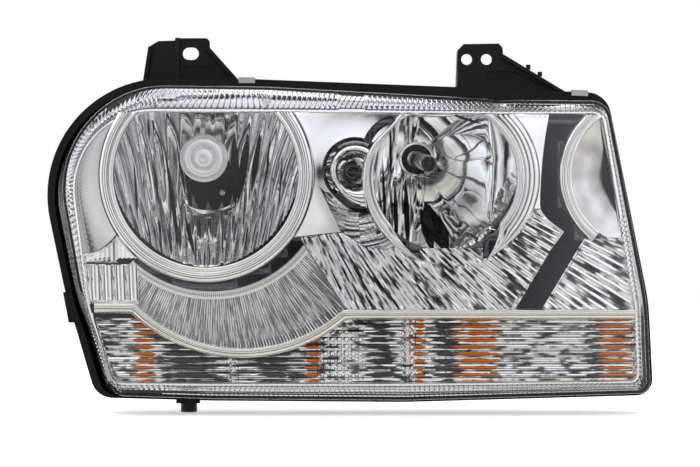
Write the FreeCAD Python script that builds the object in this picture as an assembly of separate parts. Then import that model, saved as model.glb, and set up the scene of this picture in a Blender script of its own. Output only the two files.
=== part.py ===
import FreeCAD, Part
import math
import os
from FreeCAD import Vector

os.makedirs("parts", exist_ok=True)

# Halogen car headlight: black housing, clear lens, chrome trim, two reflectors on a tilting carrier.
# Millimetres. +X towards the car's middle, +Y towards the back of the lamp, +Z up.
# All shapes are drawn from the lamp's middle, with Y = 0 at the housing rim. Each is saved with the
# origin moved to the middle of the inboard bracket's pair of holes.

# ---- outlines seen from the front: corner x, corner z, corner radius, anticlockwise from bottom left
FLANGE = [(-184.5, -114.6, 16), (-100, -116.9, 300), (40, -117.9, 300), (220.4, -112.8, 12),
          (217.2, -46, 160), (186.7, 106.8, 18), (-70, 116.9, 300), (-240, 118.3, 85), (-207, -38, 200)]
LENS = [(-178.6, -112.4, 14), (-100, -114.7, 300), (40, -115.7, 300), (217.6, -110.6, 10),
        (214.2, -45, 160), (185.2, 101.2, 16), (110, 101.6, 400), (-60, 110.8, 300),
        (-232.5, 113, 80), (-201.5, -38, 200)]
FACE = [(-164, -110.5, 8), (-100, -112.5, 300), (40, -113.5, 300), (213, -108.6, 8),
        (210.5, -45, 160), (183, 98.5, 14), (110, 99.3, 400), (-60, 108.6, 300),
        (-215, 111, 72), (-190, -38, 200)]
WINDOW = [(-169.3, -102.8, 8), (206.4, -101.6, 6), (204.6, -48, 100), (180.6, 90.8, 8),
          (-205, 93, 57), (-187.5, -44, 150)]
CHAMBER = [(-188, -52, 20), (172, -52, 20), (168, 88, 18), (-60, 98, 200), (-208, 100, 66)]

# ---- depths along Y
LENS_FRONT = -62.0
CROWN_R = 3200.0
CROWN_X = 40.0
LENS_BACK = -2.0
RIM_FRONT = -8.0
CHANNEL_FLOOR = 6.5
RIM_BACK = 10.0
LOWER_BACK = 34.0
UPPER_BACK = 57.0
BEZEL_FRONT = -42.0
BEZEL_BACK = -39.6
RING_FRONT = -48.0
BOWL_RIM = -29.0
BOWL_VERTEX = 27.0
CARRIER_FRONT = 33.0
CARRIER_BACK = 37.0
PIVOT_Y = 45.0

# ---- walls and clearances
LENS_WALL = 2.6
HOUSING_WALL = 2.5
CHANNEL_GAP = 0.6
BOWL_WALL = 2.8
TRAVEL_GAP = 0.3
RUNNING_GAP = 0.05
LENS_OVERRUN = 4.0

# ---- lamp positions: x, z
LOW_RING = (-102.9, 46.4)
LOW_RING_IN = 66.0
LOW_RING_OUT = 77.0
LOW_AXIS = (-104.0, 57.0)
LOW_BOWL_R = 70.0
LOW_ROOF = 98.0
LOW_FOCUS = 26.0
HIGH_OPEN = (67.9, 45.0)
HIGH_OPEN_R = 51.4
HIGH_RING = (72.0, 45.0)
HIGH_RING_OUT = 64.0
HIGH_AXIS = (49.0, 59.5)
HIGH_BOWL_R = 56.0
HIGH_ROOF = 91.0
HIGH_FOCUS = 24.0
HIGH_LEAN = 14.0
LEAN_RIGHT = 0.88
LEAN_DOWN = 0.47
PARK_RING = (8.6, 51.4)
PARK_RING_R = 27.0
PARK_AXIS = (2.0, 49.0)
PARK_VERTEX = -6.0
PARK_FOCUS = 8.0
INNER_RING = (208.6, 46.4)
INNER_RING_IN = 50.0
INNER_RING_OUT = 60.0
WINDOW_TOP = 90.6
ARC = (-77.0, 30.0)
ARC_R = 107.0
STRIP_WIDTH = 7.5
STRIP_LEFT_TOP = -45.0
STRIP_RIGHT_TOP = -49.5

# ---- lower cells
CELL_TOP = -56.0
CELL_BOTTOM = -103.5
CELL_MID = -79.5
CELL_FRONT = -34.0
CELL_VERTEX = 10.0
CELL_FOCUS = 14.0
CELL_WALL = 1.6
CELLS = {"marker_cell": (-190.0, -84.5), "middle_cell": (-84.0, 41.0), "turn_cell": (41.5, 212.0)}
TURN_X = 88.0
MARKER_X = -148.0

# ---- bulbs, measured from the reflector's vertex
NECK_BORE = 11.0
NECK_OUT = 14.5
NECK_END = UPPER_BACK - 32.0
GLASS_R = 6.0
GLASS_TIP = -45.0
PLUG_START = 3.0
FLANGE_R = 15.0
BASE_END = UPPER_BACK - 15.0
SHROUD_LENGTH = 26.0
SHROUD = (24.0, 16.0)
SHROUD_WALL = 2.0

# ---- tilting carrier and its adjuster
PIVOT_Z = 78.0
PIVOT_X = (-130.0, 84.0)
ARM = 100.0
ADJUSTER_X = -17.0
BALL_R = 5.0
SOCKET_R = 7.2
SOCKET_END = 4.0
STUD_R = 3.0
TUNNEL_R = 12.0
TUNNEL_FLOOR = 24.0
TUNNEL_WEB = 3.0
PARK_GRIP = 34.0
BOOT_HOLE_R = 22.5

# ---- brackets and locators
HOLE_R = 4.0
HOLE_X = (85.2, 99.6)
HOLE_Z = 131.8
SLOT_X = -116.3
SLOT_Z = 136.0
SLOT_LENGTH = 11.8
SLOT_HEIGHT = 9.1
PLATE_FRONT = 2.0
PLATE_BACK = 6.0
PEG_X = -117.5
PEG_R = 6.0
PEG_END = -125.4

ORIGIN = Vector((HOLE_X[0] + HOLE_X[1]) / 2, (PLATE_FRONT + PLATE_BACK) / 2, HOLE_Z)
BACKWARD = Vector(0, 1, 0)


def save(name, shape):
    placed = shape.copy()
    placed.translate(ORIGIN.negative())
    placed.exportStep("parts/" + name + ".step")


def box(x0, x1, y0, y1, z0, z1):
    return Part.makeBox(x1 - x0, y1 - y0, z1 - z0, Vector(x0, y0, z0))


def rod(centre, radius, y0, y1):
    return Part.makeCylinder(radius, y1 - y0, Vector(centre[0], y0, centre[1]), BACKWARD)


def tube(centre, outside, inside, y0, y1):
    return rod(centre, outside, y0, y1).cut(rod(centre, inside, y0 - 1, y1 + 1))


def moved_corners(corners, inset):
    """Every side of the outline moved inwards by the inset, and met again at new corners."""
    count = len(corners)
    sides = []
    for i in range(count):
        a = Vector(corners[i][0], 0, corners[i][1])
        b = Vector(corners[(i + 1) % count][0], 0, corners[(i + 1) % count][1])
        along = (b - a).normalize()
        inward = Vector(-along.z, 0, along.x)
        sides.append((a + inward * inset, along))
    result = []
    for i in range(count):
        p, u = sides[i - 1]
        q, v = sides[i]
        cross = u.x * v.z - u.z * v.x
        step = ((q.x - p.x) * v.z - (q.z - p.z) * v.x) / cross
        corner = p + u * step
        result.append((corner.x, corner.z, max(corners[i][2] - inset, 1.0)))
    return result


def outline(corners, inset, y):
    """A closed wire at depth y: straight sides and one arc at each corner."""
    points = moved_corners(corners, inset)
    count = len(points)
    arcs = []
    for i in range(count):
        here = Vector(points[i][0], y, points[i][1])
        before = Vector(points[i - 1][0], y, points[i - 1][1])
        after = Vector(points[(i + 1) % count][0], y, points[(i + 1) % count][1])
        u = (here - before).normalize()
        v = (after - here).normalize()
        half_turn = u.getAngle(v) / 2
        radius = points[i][2]
        reach = radius * math.tan(half_turn)
        to_centre = (v - u).normalize()
        middle = here + to_centre * (radius / math.cos(half_turn) - radius)
        arcs.append((here - u * reach, middle, here + v * reach))
    edges = []
    for i in range(count):
        edges.append(Part.Arc(arcs[i][0], arcs[i][1], arcs[i][2]).toShape())
        edges.append(Part.makeLine(arcs[i][2], arcs[(i + 1) % count][0]))
    return Part.Wire(edges)


def slab(corners, inset, y0, y1):
    return Part.Face(outline(corners, inset, y0)).extrude(Vector(0, y1 - y0, 0))


def drafted(corners, inset, y0, far_corners, far_inset, y1):
    return Part.makeLoft([outline(corners, inset, y0), outline(far_corners, far_inset, y1)], True, True)


def plate(points, y0, y1):
    loop = [Vector(x, y0, z) for x, z in points]
    return Part.Face(Part.makePolygon(loop + loop[:1])).extrude(Vector(0, y1 - y0, 0))


def bowl_plug(axis, vertex, focus, reach):
    """The solid space in front of a paraboloid that opens forwards."""
    steps = 8
    curve = [Vector(reach * i / steps, vertex - (reach * i / steps) ** 2 / (4 * focus), 0)
             for i in range(steps + 1)]
    spline = Part.BSplineCurve()
    spline.interpolate(curve)
    rim = curve[-1]
    hub = Vector(0, rim.y, 0)
    section = Part.Face(Part.Wire([spline.toShape(), Part.makeLine(rim, hub), Part.makeLine(hub, curve[0])]))
    solid = section.revolve(Vector(0, 0, 0), BACKWARD, 360)
    solid.translate(Vector(axis[0], 0, axis[1]))
    return solid


def lean(shape, axis):
    """Turns the high-beam bulb and neck about the reflector's vertex: forwards, right and down."""
    turned = shape.copy()
    sideways = Vector(-LEAN_DOWN, 0, -LEAN_RIGHT)
    turned.rotate(Vector(axis[0], BOWL_VERTEX, axis[1]), sideways, -HIGH_LEAN)
    return turned


# ---- lens -----------------------------------------------------------------------------------------
def lens_hull(inset, crown):
    hull = drafted(LENS, inset, LENS_BACK, FACE, inset, LENS_FRONT - LENS_OVERRUN)
    ball = Part.makeSphere(crown, Vector(CROWN_X, LENS_FRONT + CROWN_R, 0))
    return hull.common(ball)


def inside_lens():
    """The space behind the lens, less a clearance, in which trim must stay."""
    return lens_hull(LENS_WALL + 0.5, CROWN_R - LENS_WALL - 1).fuse(slab(LENS, LENS_WALL + 0.5, LENS_BACK, 30))


tongue_back = CHANNEL_FLOOR - 1.5
lens_outside = lens_hull(0, CROWN_R).fuse(slab(LENS, 0, LENS_BACK, tongue_back))
lens_inside = lens_hull(LENS_WALL, CROWN_R - LENS_WALL - 0.4)
lens_inside = lens_inside.fuse(slab(LENS, LENS_WALL, LENS_BACK, tongue_back + 1))
lens = lens_outside.cut(lens_inside)

# ---- housing --------------------------------------------------------------------------------------
INNER_LIP = LENS_WALL + CHANNEL_GAP
LIP_WALL = 1.6
LIP_FRONT = -3.0
LOWER_DRAFT = 12.0
UPPER_DRAFT = 4.0


def housing_shell():
    rim = slab(FLANGE, 0, RIM_FRONT, RIM_BACK).cut(slab(LENS, -CHANNEL_GAP, RIM_FRONT - 1, CHANNEL_FLOOR))
    lip = slab(LENS, INNER_LIP, LIP_FRONT, RIM_BACK)
    lower = drafted(LENS, INNER_LIP, RIM_BACK, LENS, LOWER_DRAFT, LOWER_BACK)
    upper = drafted(CHAMBER, 0, LOWER_BACK - 5, CHAMBER, UPPER_DRAFT, UPPER_BACK)
    solid = rim.fuse([lip, lower, upper])
    wall = HOUSING_WALL
    mouth = slab(LENS, INNER_LIP + LIP_WALL, LIP_FRONT - 1, RIM_BACK + 0.5)
    lower_space = drafted(LENS, INNER_LIP + LIP_WALL, RIM_BACK, LENS, LOWER_DRAFT + wall, LOWER_BACK - wall)
    upper_space = drafted(CHAMBER, wall, LOWER_BACK - 6, CHAMBER, UPPER_DRAFT + wall, UPPER_BACK - wall)
    return solid.cut(mouth.fuse([lower_space, upper_space]))


def neck_point(axis, y):
    """Where the leaning high-beam axis passes depth y."""
    shift = (y - BOWL_VERTEX) * math.tan(math.radians(HIGH_LEAN))
    return (axis[0] - LEAN_RIGHT * shift, axis[1] + LEAN_DOWN * shift)


HIGH_HOLE = neck_point(HIGH_AXIS, UPPER_BACK)
ADJUSTER_Z = PIVOT_Z - ARM
ADJUSTER = (ADJUSTER_X, ADJUSTER_Z)
TURN = (TURN_X, CELL_MID)
MARKER = (MARKER_X, CELL_MID)
TURN_HOLE_R = 15.0
MARKER_HOLE_R = 9.0
PARK_HOLE_R = 8.0
VENTS = [(-160.0, 30.0), (125.0, 30.0)]


def outboard_bracket():
    face = plate([(-151.5, 112), (-147, 141), (-140, 145.2), (-128, 145.6), (-127.4, 147.3), (-104.5, 147.3),
                  (-102.5, 145), (-102.4, 140.4), (-77, 112)], PLATE_FRONT, PLATE_BACK)
    slot = box(SLOT_X - (SLOT_LENGTH - SLOT_HEIGHT) / 2, SLOT_X + (SLOT_LENGTH - SLOT_HEIGHT) / 2,
               PLATE_FRONT - 1, PLATE_BACK + 1, SLOT_Z - SLOT_HEIGHT / 2, SLOT_Z + SLOT_HEIGHT / 2)
    for side in (-1, 1):
        slot = slot.fuse(rod((SLOT_X + side * (SLOT_LENGTH - SLOT_HEIGHT) / 2, SLOT_Z), SLOT_HEIGHT / 2,
                             PLATE_FRONT - 1, PLATE_BACK + 1))
    window = plate([(-122, 117.5), (-122, 127), (-99, 127), (-90.5, 117.5)], PLATE_FRONT - 1, PLATE_FRONT + 2)
    left_rib = plate([(-151.5, 112), (-147, 141), (-144.4, 141), (-148.8, 112)], PLATE_FRONT - 5, 26)
    middle_rib = plate([(-128, 112), (-127.4, 147.3), (-124.4, 147.3), (-125, 112)], PLATE_FRONT - 5, 26)
    slope_rib = plate([(-102.4, 140.4), (-77, 112), (-80.4, 112), (-105.2, 139.4)], PLATE_FRONT - 5, 24)
    top_rib = box(-125, -104.5, PLATE_BACK, 18, 144.8, 147.3)
    foot = box(-150, -79, PLATE_BACK, 26, 104, 112.5).cut(slab(LENS, INNER_LIP + 0.2, 0, 30))
    return face.cut(slot.fuse(window)).fuse([left_rib, middle_rib, slope_rib, top_rib, foot])


def inboard_bracket():
    face = plate([(77.6, 108), (78.6, 138.5), (83, 143), (108.6, 143.4), (111.4, 140.4), (111.9, 135.2),
                  (162, 105)], PLATE_FRONT, PLATE_BACK)
    for x in HOLE_X:
        face = face.cut(rod((x, HOLE_Z), HOLE_R, PLATE_FRONT - 1, PLATE_BACK + 1))
    window = plate([(100, 112.5), (100, 123), (120, 123), (141, 112.5)], PLATE_FRONT - 1, PLATE_FRONT + 2)
    gusset = plate([(78.6, 124), (100, 108), (77.6, 108)], PLATE_FRONT - 8, PLATE_FRONT)
    left_rib = plate([(77.6, 108), (78.6, 138.5), (81.4, 138.5), (80.4, 108)], PLATE_BACK, 26)
    top_rib = box(83, 108.6, PLATE_BACK, 18, 140.6, 143.1)
    slope_rib = plate([(111.9, 135.2), (162, 105), (157.5, 105), (109.9, 133.2)], PLATE_FRONT - 5, 24)
    foot = box(79, 160, PLATE_BACK, 26, 94, 108).cut(slab(LENS, INNER_LIP + 0.2, 0, 30))
    nubs = [box(x, x + 3, PLATE_FRONT - 5, 4, z, z + 3.4) for x, z in ((128.5, 124.3), (137, 119.2))]
    return face.cut(window).fuse([gusset, left_rib, top_rib, slope_rib, foot] + nubs)


def back_ribs():
    upright = [box(x, x + 3, UPPER_BACK - 1, UPPER_BACK + 5, -46, 84) for x in (-170, -60, -32, 90, 150)]
    level = [box(-186, 158, UPPER_BACK - 1, UPPER_BACK + 5, z, z + 3) for z in (-40, 4)]
    keep = drafted(CHAMBER, 3, LOWER_BACK, CHAMBER, UPPER_DRAFT + 3, UPPER_BACK + 10)
    return [rib.common(keep) for rib in upright + level]


def housing():
    shell = housing_shell().fuse(back_ribs())
    tunnel = tube(PARK_AXIS, TUNNEL_R + 2, TUNNEL_R, TUNNEL_FLOOR, UPPER_BACK)
    floor = rod(PARK_AXIS, TUNNEL_R + 1, TUNNEL_FLOOR, TUNNEL_FLOOR + TUNNEL_WEB)
    peg = Part.makeCylinder(PEG_R, -113 - PEG_END, Vector(PEG_X, 1, PEG_END))
    peg_pad = box(PEG_X - 9, PEG_X + 8, -5, 8, -119, -116)
    shell = shell.cut(rod(PARK_AXIS, TUNNEL_R, UPPER_BACK - 5, UPPER_BACK + 9))
    shell = shell.fuse([tunnel, floor, peg, peg_pad])
    shell = shell.cut(slab(LENS, -CHANNEL_GAP, RIM_FRONT - 1, CHANNEL_FLOOR).cut(
        slab(LENS, INNER_LIP, RIM_FRONT - 2, CHANNEL_FLOOR + 1)))
    reach = (LOWER_BACK - 8, UPPER_BACK + 9)
    holes = [rod(LOW_AXIS, BOOT_HOLE_R, *reach), rod(HIGH_HOLE, BOOT_HOLE_R, *reach),
             rod(ADJUSTER, STUD_R + 1, *reach), rod(PARK_AXIS, PARK_HOLE_R, TUNNEL_FLOOR - 1, 60),
             rod(TURN, TURN_HOLE_R, 20, 40), rod(MARKER, MARKER_HOLE_R, 20, 40)]
    holes += [rod((x, PIVOT_Z), STUD_R + RUNNING_GAP, *reach) for x in PIVOT_X]
    holes += [rod(vent, 2.5, *reach) for vent in VENTS]
    pads = [rod(ADJUSTER, 14.6, UPPER_BACK - 0.5, UPPER_BACK + 9)]
    pads += [rod((x, PIVOT_Z), 8.6, UPPER_BACK - 0.5, UPPER_BACK + 9) for x in PIVOT_X]
    pads += [rod(centre, BOOT_HOLE_R + 4.2, UPPER_BACK, UPPER_BACK + 9) for centre in (LOW_AXIS, HIGH_HOLE)]
    for cutter in pads:
        shell = shell.cut(cutter.cut(rod((0, 0), 400, UPPER_BACK - 1, UPPER_BACK)))
    for cutter in holes:
        shell = shell.cut(cutter)
    return shell.removeSplitter()


def lens_seal():
    ring = slab(LENS, -CHANNEL_GAP, CHANNEL_FLOOR - 4.5, CHANNEL_FLOOR)
    ring = ring.cut(slab(LENS, INNER_LIP, -5, CHANNEL_FLOOR + 1))
    return ring.cut(slab(LENS, 0, -5, tongue_back).cut(slab(LENS, LENS_WALL, -6, tongue_back + 1)))


# ---- fixed chrome trim ----------------------------------------------------------------------------
def below(z, y0=-60, y1=20):
    return box(-260, 260, y0, y1, -160, z)


def trim_clearance():
    """Space inside the lens and housing lip in which the chrome trim must stay."""
    return slab(LENS, 7.5, -60, 30).common(inside_lens())


def high_disc(radius, y0, y1):
    return rod(HIGH_OPEN, radius, y0, y1).common(below(WINDOW_TOP - 1))


def bezel():
    panel = slab(WINDOW, -4, BEZEL_FRONT, BEZEL_BACK)
    front, back = BEZEL_FRONT - 8, BEZEL_BACK + 1
    low_ring = rod(LOW_RING, LOW_RING_OUT, RING_FRONT, BEZEL_BACK).common(below(WINDOW_TOP + 1.6))
    high_ring = rod(HIGH_RING, HIGH_RING_OUT, RING_FRONT, BEZEL_BACK).common(below(WINDOW_TOP))
    high_ring = high_ring.cut(box(50, 96, -60, 0, -40, -4))
    inner_ring = rod(INNER_RING, INNER_RING_OUT, RING_FRONT + 3, BEZEL_BACK)
    inner_ring = inner_ring.common(slab(WINDOW, 0.5, -60, 0))
    park_hole = rod(PARK_RING, PARK_RING_R, front, back).cut(rod(HIGH_RING, HIGH_RING_OUT, -60, 0))
    park_hole = park_hole.cut(rod(LOW_RING, LOW_RING_OUT + 1, -60, 0))
    arc_hole = rod(ARC, ARC_R + STRIP_WIDTH - 2, front, back).common(below(10))
    arc_hole = arc_hole.common(plate([(-260, 20), (-24, 20), (0, -60), (0, -160), (-260, -160)], -60, 0))
    cell_hole = slab(WINDOW, 1, front, back).common(below(STRIP_RIGHT_TOP - STRIP_WIDTH + 2))
    solid = panel.cut(arc_hole.cut(rod(LOW_RING, LOW_RING_OUT, -60, 0))).cut(park_hole)
    solid = solid.fuse([low_ring, high_ring, inner_ring]).cut(cell_hole)
    solid = solid.cut(rod(LOW_RING, LOW_RING_IN, front, back).common(below(WINDOW_TOP)))
    solid = solid.cut(high_disc(HIGH_OPEN_R, front, back))
    solid = solid.cut(rod(INNER_RING, INNER_RING_IN, front, back).common(slab(WINDOW, 3, -60, 0)))
    legs = [box(x, x + 10, BEZEL_BACK - 0.5, LIP_FRONT, z, z + 1.8)
            for x, z in ((-66, 104.7), (-100, -110.4), (95, -110.6))]
    tabs = [box(x, x + 10, BEZEL_FRONT, BEZEL_BACK, low, high)
            for x, low, high in ((-66, 90, 106.5), (-100, -110.4, -101), (95, -110.6, -101))]
    return solid.fuse(legs + tabs).common(inside_lens()).removeSplitter()


def divider_strip():
    y0, y1 = BEZEL_FRONT - 4, BEZEL_FRONT
    band = tube(ARC, ARC_R + STRIP_WIDTH, ARC_R, y0, y1).common(below(STRIP_LEFT_TOP))
    left = box(-183, -150, y0, y1, STRIP_LEFT_TOP - STRIP_WIDTH, STRIP_LEFT_TOP)
    right = box(-8, 203.5, y0, y1, STRIP_RIGHT_TOP - STRIP_WIDTH, STRIP_RIGHT_TOP)
    over = box(-20, 20, y0 - 1, y1 + 1, STRIP_RIGHT_TOP, STRIP_LEFT_TOP + 1)
    return band.fuse([left, right]).cut(rod(ARC, ARC_R, y0 - 1, y1 + 1)).cut(over).removeSplitter()


def crescent_trim():
    y0, y1 = BEZEL_BACK + 0.4, BEZEL_BACK + 2.6
    disc = rod(ARC, ARC_R + 3, y0, y1).common(below(10))
    disc = disc.common(plate([(-260, 20), (-24, 20), (-1, -60), (-1, -160), (-260, -160)], -60, 0))
    return disc.cut(rod(LOW_RING, LOW_RING_OUT - 4, -60, 0)).common(trim_clearance())


def park_reflector():
    rim = BEZEL_BACK
    outside = bowl_plug(PARK_AXIS, PARK_VERTEX + 1.8, PARK_FOCUS, 40)
    inside = bowl_plug(PARK_AXIS, PARK_VERTEX, PARK_FOCUS, 40)
    shell = rod(PARK_RING, PARK_RING_R + 2, rim, 5).common(outside)
    shell = shell.cut(inside.common(rod(PARK_RING, PARK_RING_R + 0.5, rim - 1, 5)))
    clear_high = rod(HIGH_OPEN, HIGH_BOWL_R + 3.2, -60, 40)
    return shell.cut(clear_high).cut(rod(PARK_AXIS, 6.6, -60, 5))


def inner_reflector():
    axis = (201.0, 46.0)
    outside = bowl_plug(axis, 8.0, 22.0, 75)
    inside = bowl_plug(axis, 6.0, 22.0, 75)
    shell = rod(INNER_RING, INNER_RING_IN + 4, BEZEL_BACK, 10).common(outside)
    shell = shell.cut(inside.common(rod(INNER_RING, INNER_RING_IN + 2.4, BEZEL_BACK - 1, 10)))
    return shell.common(trim_clearance())


def lower_cell(x0, x1):
    height = (CELL_TOP - CELL_BOTTOM) / 2
    steps = 6
    points = []
    for i in range(2 * steps + 1):
        z = (height - CELL_WALL) * (i - steps) / steps
        points.append(Vector(x0, CELL_VERTEX - z * z / (4 * CELL_FOCUS), CELL_MID + z))
    spline = Part.BSplineCurve()
    spline.interpolate(points)
    low = Vector(x0, CELL_FRONT - 1, points[0].z)
    high = Vector(x0, CELL_FRONT - 1, points[-1].z)
    loop = [spline.toShape(), Part.makeLine(points[-1], high), Part.makeLine(high, low),
            Part.makeLine(low, points[0])]
    space = Part.Face(Part.Wire(loop)).extrude(Vector(x1 - x0, 0, 0))
    block = box(x0, x1, CELL_FRONT, CELL_VERTEX + 2, CELL_BOTTOM, CELL_TOP).common(trim_clearance())
    space = space.common(slab(LENS, 7.5 + CELL_WALL, -60, 30))
    return block.cut(space.common(box(x0 + CELL_WALL, x1 - CELL_WALL, -60, 30, -160, 0)))


# ---- tilting reflectors ---------------------------------------------------------------------------
def reflector(ring, radius, axis, focus, roof, leans):
    neck = rod(axis, NECK_OUT, BOWL_VERTEX - 6, BOWL_VERTEX + NECK_END)
    bore = rod(axis, NECK_BORE, BOWL_VERTEX - 30, BOWL_VERTEX + NECK_END + 1)
    if leans:
        neck, bore = lean(neck, axis), lean(bore, axis)
    outside = bowl_plug(axis, BOWL_VERTEX + BOWL_WALL, focus, 110)
    inside = bowl_plug(axis, BOWL_VERTEX, focus, 110)
    body = rod(ring, radius + 1.5, BOWL_RIM, 60).common(outside).common(below(roof + 1.5, -60, 60))
    space = rod(ring, radius, BOWL_RIM - 1, 60).common(inside).common(below(roof, -60, 60))
    return body.fuse(neck.cut(outside)).cut(space).cut(bore).removeSplitter()


def carrier():
    beams = [box(-152, 100, CARRIER_FRONT, CARRIER_BACK, 70, 86),
             box(-118, 68, CARRIER_FRONT, CARRIER_BACK, ADJUSTER_Z - 6, ADJUSTER_Z + 6),
             box(-124, -84, CARRIER_FRONT, CARRIER_BACK, ADJUSTER_Z - 6, 86),
             box(28, 68, CARRIER_FRONT, CARRIER_BACK, ADJUSTER_Z - 6, 86)]
    frame = beams[0].fuse(beams[1:])
    low_posts = [(-147.0, 78.0), (-61.0, 78.0), (-104.0, 14.0)]
    high_posts = [(94.0, 76.0), (26.0, 76.0), (55.0, 12.0)]
    low_back = bowl_plug(LOW_AXIS, BOWL_VERTEX + BOWL_WALL, LOW_FOCUS, 110)
    high_back = bowl_plug(HIGH_AXIS, BOWL_VERTEX + BOWL_WALL, HIGH_FOCUS, 110)
    posts = [rod(p, 4, BOWL_RIM, CARRIER_FRONT).cut(low_back) for p in low_posts]
    posts += [rod(p, 4, BOWL_RIM, CARRIER_FRONT).cut(high_back) for p in high_posts]
    neck = rod(LOW_AXIS, NECK_OUT + RUNNING_GAP, 20, 60)
    high_neck = lean(rod(HIGH_AXIS, NECK_OUT + RUNNING_GAP, 20, 60), HIGH_AXIS)
    return frame.fuse(posts).cut(neck).cut(high_neck)


def ball_socket(x, z, gap):
    block = rod((x, z), SOCKET_R, CARRIER_BACK, PIVOT_Y + SOCKET_END)
    cavity = Part.makeSphere(BALL_R + gap, Vector(x, PIVOT_Y, z))
    mouth = Part.makeCone(STUD_R + 0.4, STUD_R + 1.6, 9, Vector(x, PIVOT_Y, z), BACKWARD)
    return block.cut(cavity).cut(mouth)


def pivot_stud(x):
    ball = Part.makeSphere(BALL_R, Vector(x, PIVOT_Y, PIVOT_Z))
    shaft = rod((x, PIVOT_Z), STUD_R, PIVOT_Y, UPPER_BACK + 6)
    collar = rod((x, PIVOT_Z), 6.5, UPPER_BACK - HOUSING_WALL - 2, UPPER_BACK - HOUSING_WALL)
    return ball.fuse([shaft, collar])


def hexagon(centre, flats, y0, y1):
    radius = flats / 2 / math.cos(math.pi / 6)
    corners = [math.radians(60 * i) for i in range(6)]
    points = [(centre[0] + radius * math.cos(a), centre[1] + radius * math.sin(a)) for a in corners]
    return plate(points, y0, y1)


def pivot_nut(x):
    centre = (x, PIVOT_Z)
    bore = rod(centre, STUD_R, UPPER_BACK - 1, UPPER_BACK + 9)
    return hexagon(centre, 10, UPPER_BACK, UPPER_BACK + 4.5).cut(bore)


ADJ = {"cavity": (UPPER_BACK + 3, UPPER_BACK + 15.2), "end": UPPER_BACK + 18, "collar_r": 8.0, "neck_r": 6.0}


def adjuster_housing():
    barrel = rod(ADJUSTER, 12, UPPER_BACK, ADJ["end"])
    ears = hexagon(ADJUSTER, 24, UPPER_BACK, UPPER_BACK + 3)
    cavity = rod(ADJUSTER, ADJ["collar_r"] + TRAVEL_GAP, *ADJ["cavity"])
    front = rod(ADJUSTER, STUD_R + TRAVEL_GAP, UPPER_BACK - 1, UPPER_BACK + 4)
    rear = rod(ADJUSTER, ADJ["neck_r"] + TRAVEL_GAP, UPPER_BACK + 15, ADJ["end"] + 1)
    return barrel.fuse(ears).cut(cavity.fuse([front, rear]))


def adjuster_nut():
    start = ADJ["cavity"][0] + TRAVEL_GAP
    stop = ADJ["cavity"][1] - TRAVEL_GAP
    collar = rod(ADJUSTER, ADJ["collar_r"], start, stop)
    neck = rod(ADJUSTER, ADJ["neck_r"], stop, ADJ["end"] + 1)
    drive = hexagon(ADJUSTER, 12, ADJ["end"] + 1, ADJ["end"] + 14)
    return collar.fuse([neck, drive]).cut(rod(ADJUSTER, STUD_R + RUNNING_GAP, start - 1, ADJ["end"] + 12))


def adjuster_stud():
    ball = Part.makeSphere(BALL_R, Vector(ADJUSTER_X, PIVOT_Y, ADJUSTER_Z))
    return ball.fuse(rod(ADJUSTER, STUD_R, PIVOT_Y, ADJ["end"] + 5))


# ---- bulbs ----------------------------------------------------------------------------------------
def glass(centre, radius, tip, back):
    dome = Part.makeSphere(radius, Vector(centre[0], tip + radius, centre[1]))
    return rod(centre, radius, tip + radius, back).fuse(dome)


def shroud(centre, y0, width, height, length):
    """Connector inlet: a rectangular hollow open to the back, with two blades inside."""
    x, z = centre
    outside = box(x - width / 2, x + width / 2, y0, y0 + length, z - height / 2, z + height / 2)
    wall = SHROUD_WALL
    inside = box(x - width / 2 + wall, x + width / 2 - wall, y0 + wall, y0 + length + 1,
                 z - height / 2 + wall, z + height / 2 - wall)
    return outside.cut(inside)


def bulb_base(axis):
    """Twist-in base: plug in the neck, round flange, square-shouldered body and connector inlet."""
    start = BOWL_VERTEX + PLUG_START
    neck_end = BOWL_VERTEX + NECK_END
    plug = rod(axis, NECK_BORE - TRAVEL_GAP, start, neck_end + TRAVEL_GAP)
    groove = tube(axis, NECK_BORE, NECK_BORE - 2.4, neck_end - 8, neck_end - 5)
    flange = rod(axis, FLANGE_R, neck_end + TRAVEL_GAP, neck_end + 4)
    body = rod(axis, 12, neck_end + 4, BOWL_VERTEX + BASE_END)
    grips = [box(axis[0] + s * 13 - 2.5, axis[0] + s * 13 + 2.5, neck_end + 4, BOWL_VERTEX + BASE_END - 2,
                 axis[1] - 4, axis[1] + 4) for s in (-1, 1)]
    inlet = shroud(axis, BOWL_VERTEX + BASE_END, SHROUD[0], SHROUD[1], SHROUD_LENGTH)
    return plug.cut(groove).fuse([flange, body, inlet] + grips)


def bulb_ring(axis):
    neck_end = BOWL_VERTEX + NECK_END
    return tube(axis, NECK_BORE - 0.05, NECK_BORE - 2.4, neck_end - 8, neck_end - 5)


def headlamp_glass(axis):
    return glass(axis, GLASS_R, BOWL_VERTEX + GLASS_TIP, BOWL_VERTEX + PLUG_START)


def bulb_shield():
    """Cup over the low-beam bulb's tip, hung from the reflector's flat roof by a strip."""
    profile = [Vector(0, -37, 0), Vector(9, -37, 0), Vector(16.5, -30, 0), Vector(16.5, -20, 0),
               Vector(15.3, -20, 0), Vector(15.3, -29.4, 0), Vector(8.5, -35.8, 0), Vector(0, -35.8, 0)]
    cup = Part.Face(Part.makePolygon(profile + profile[:1])).revolve(Vector(0, 0, 0), BACKWARD, 360)
    cup.translate(Vector(LOW_AXIS[0], 8, LOW_AXIS[1]))
    strip = box(LOW_AXIS[0] - 3, LOW_AXIS[0] + 3, -20, -18.8, LOW_AXIS[1] + 16, LOW_ROOF)
    return cup.fuse(strip)


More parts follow.
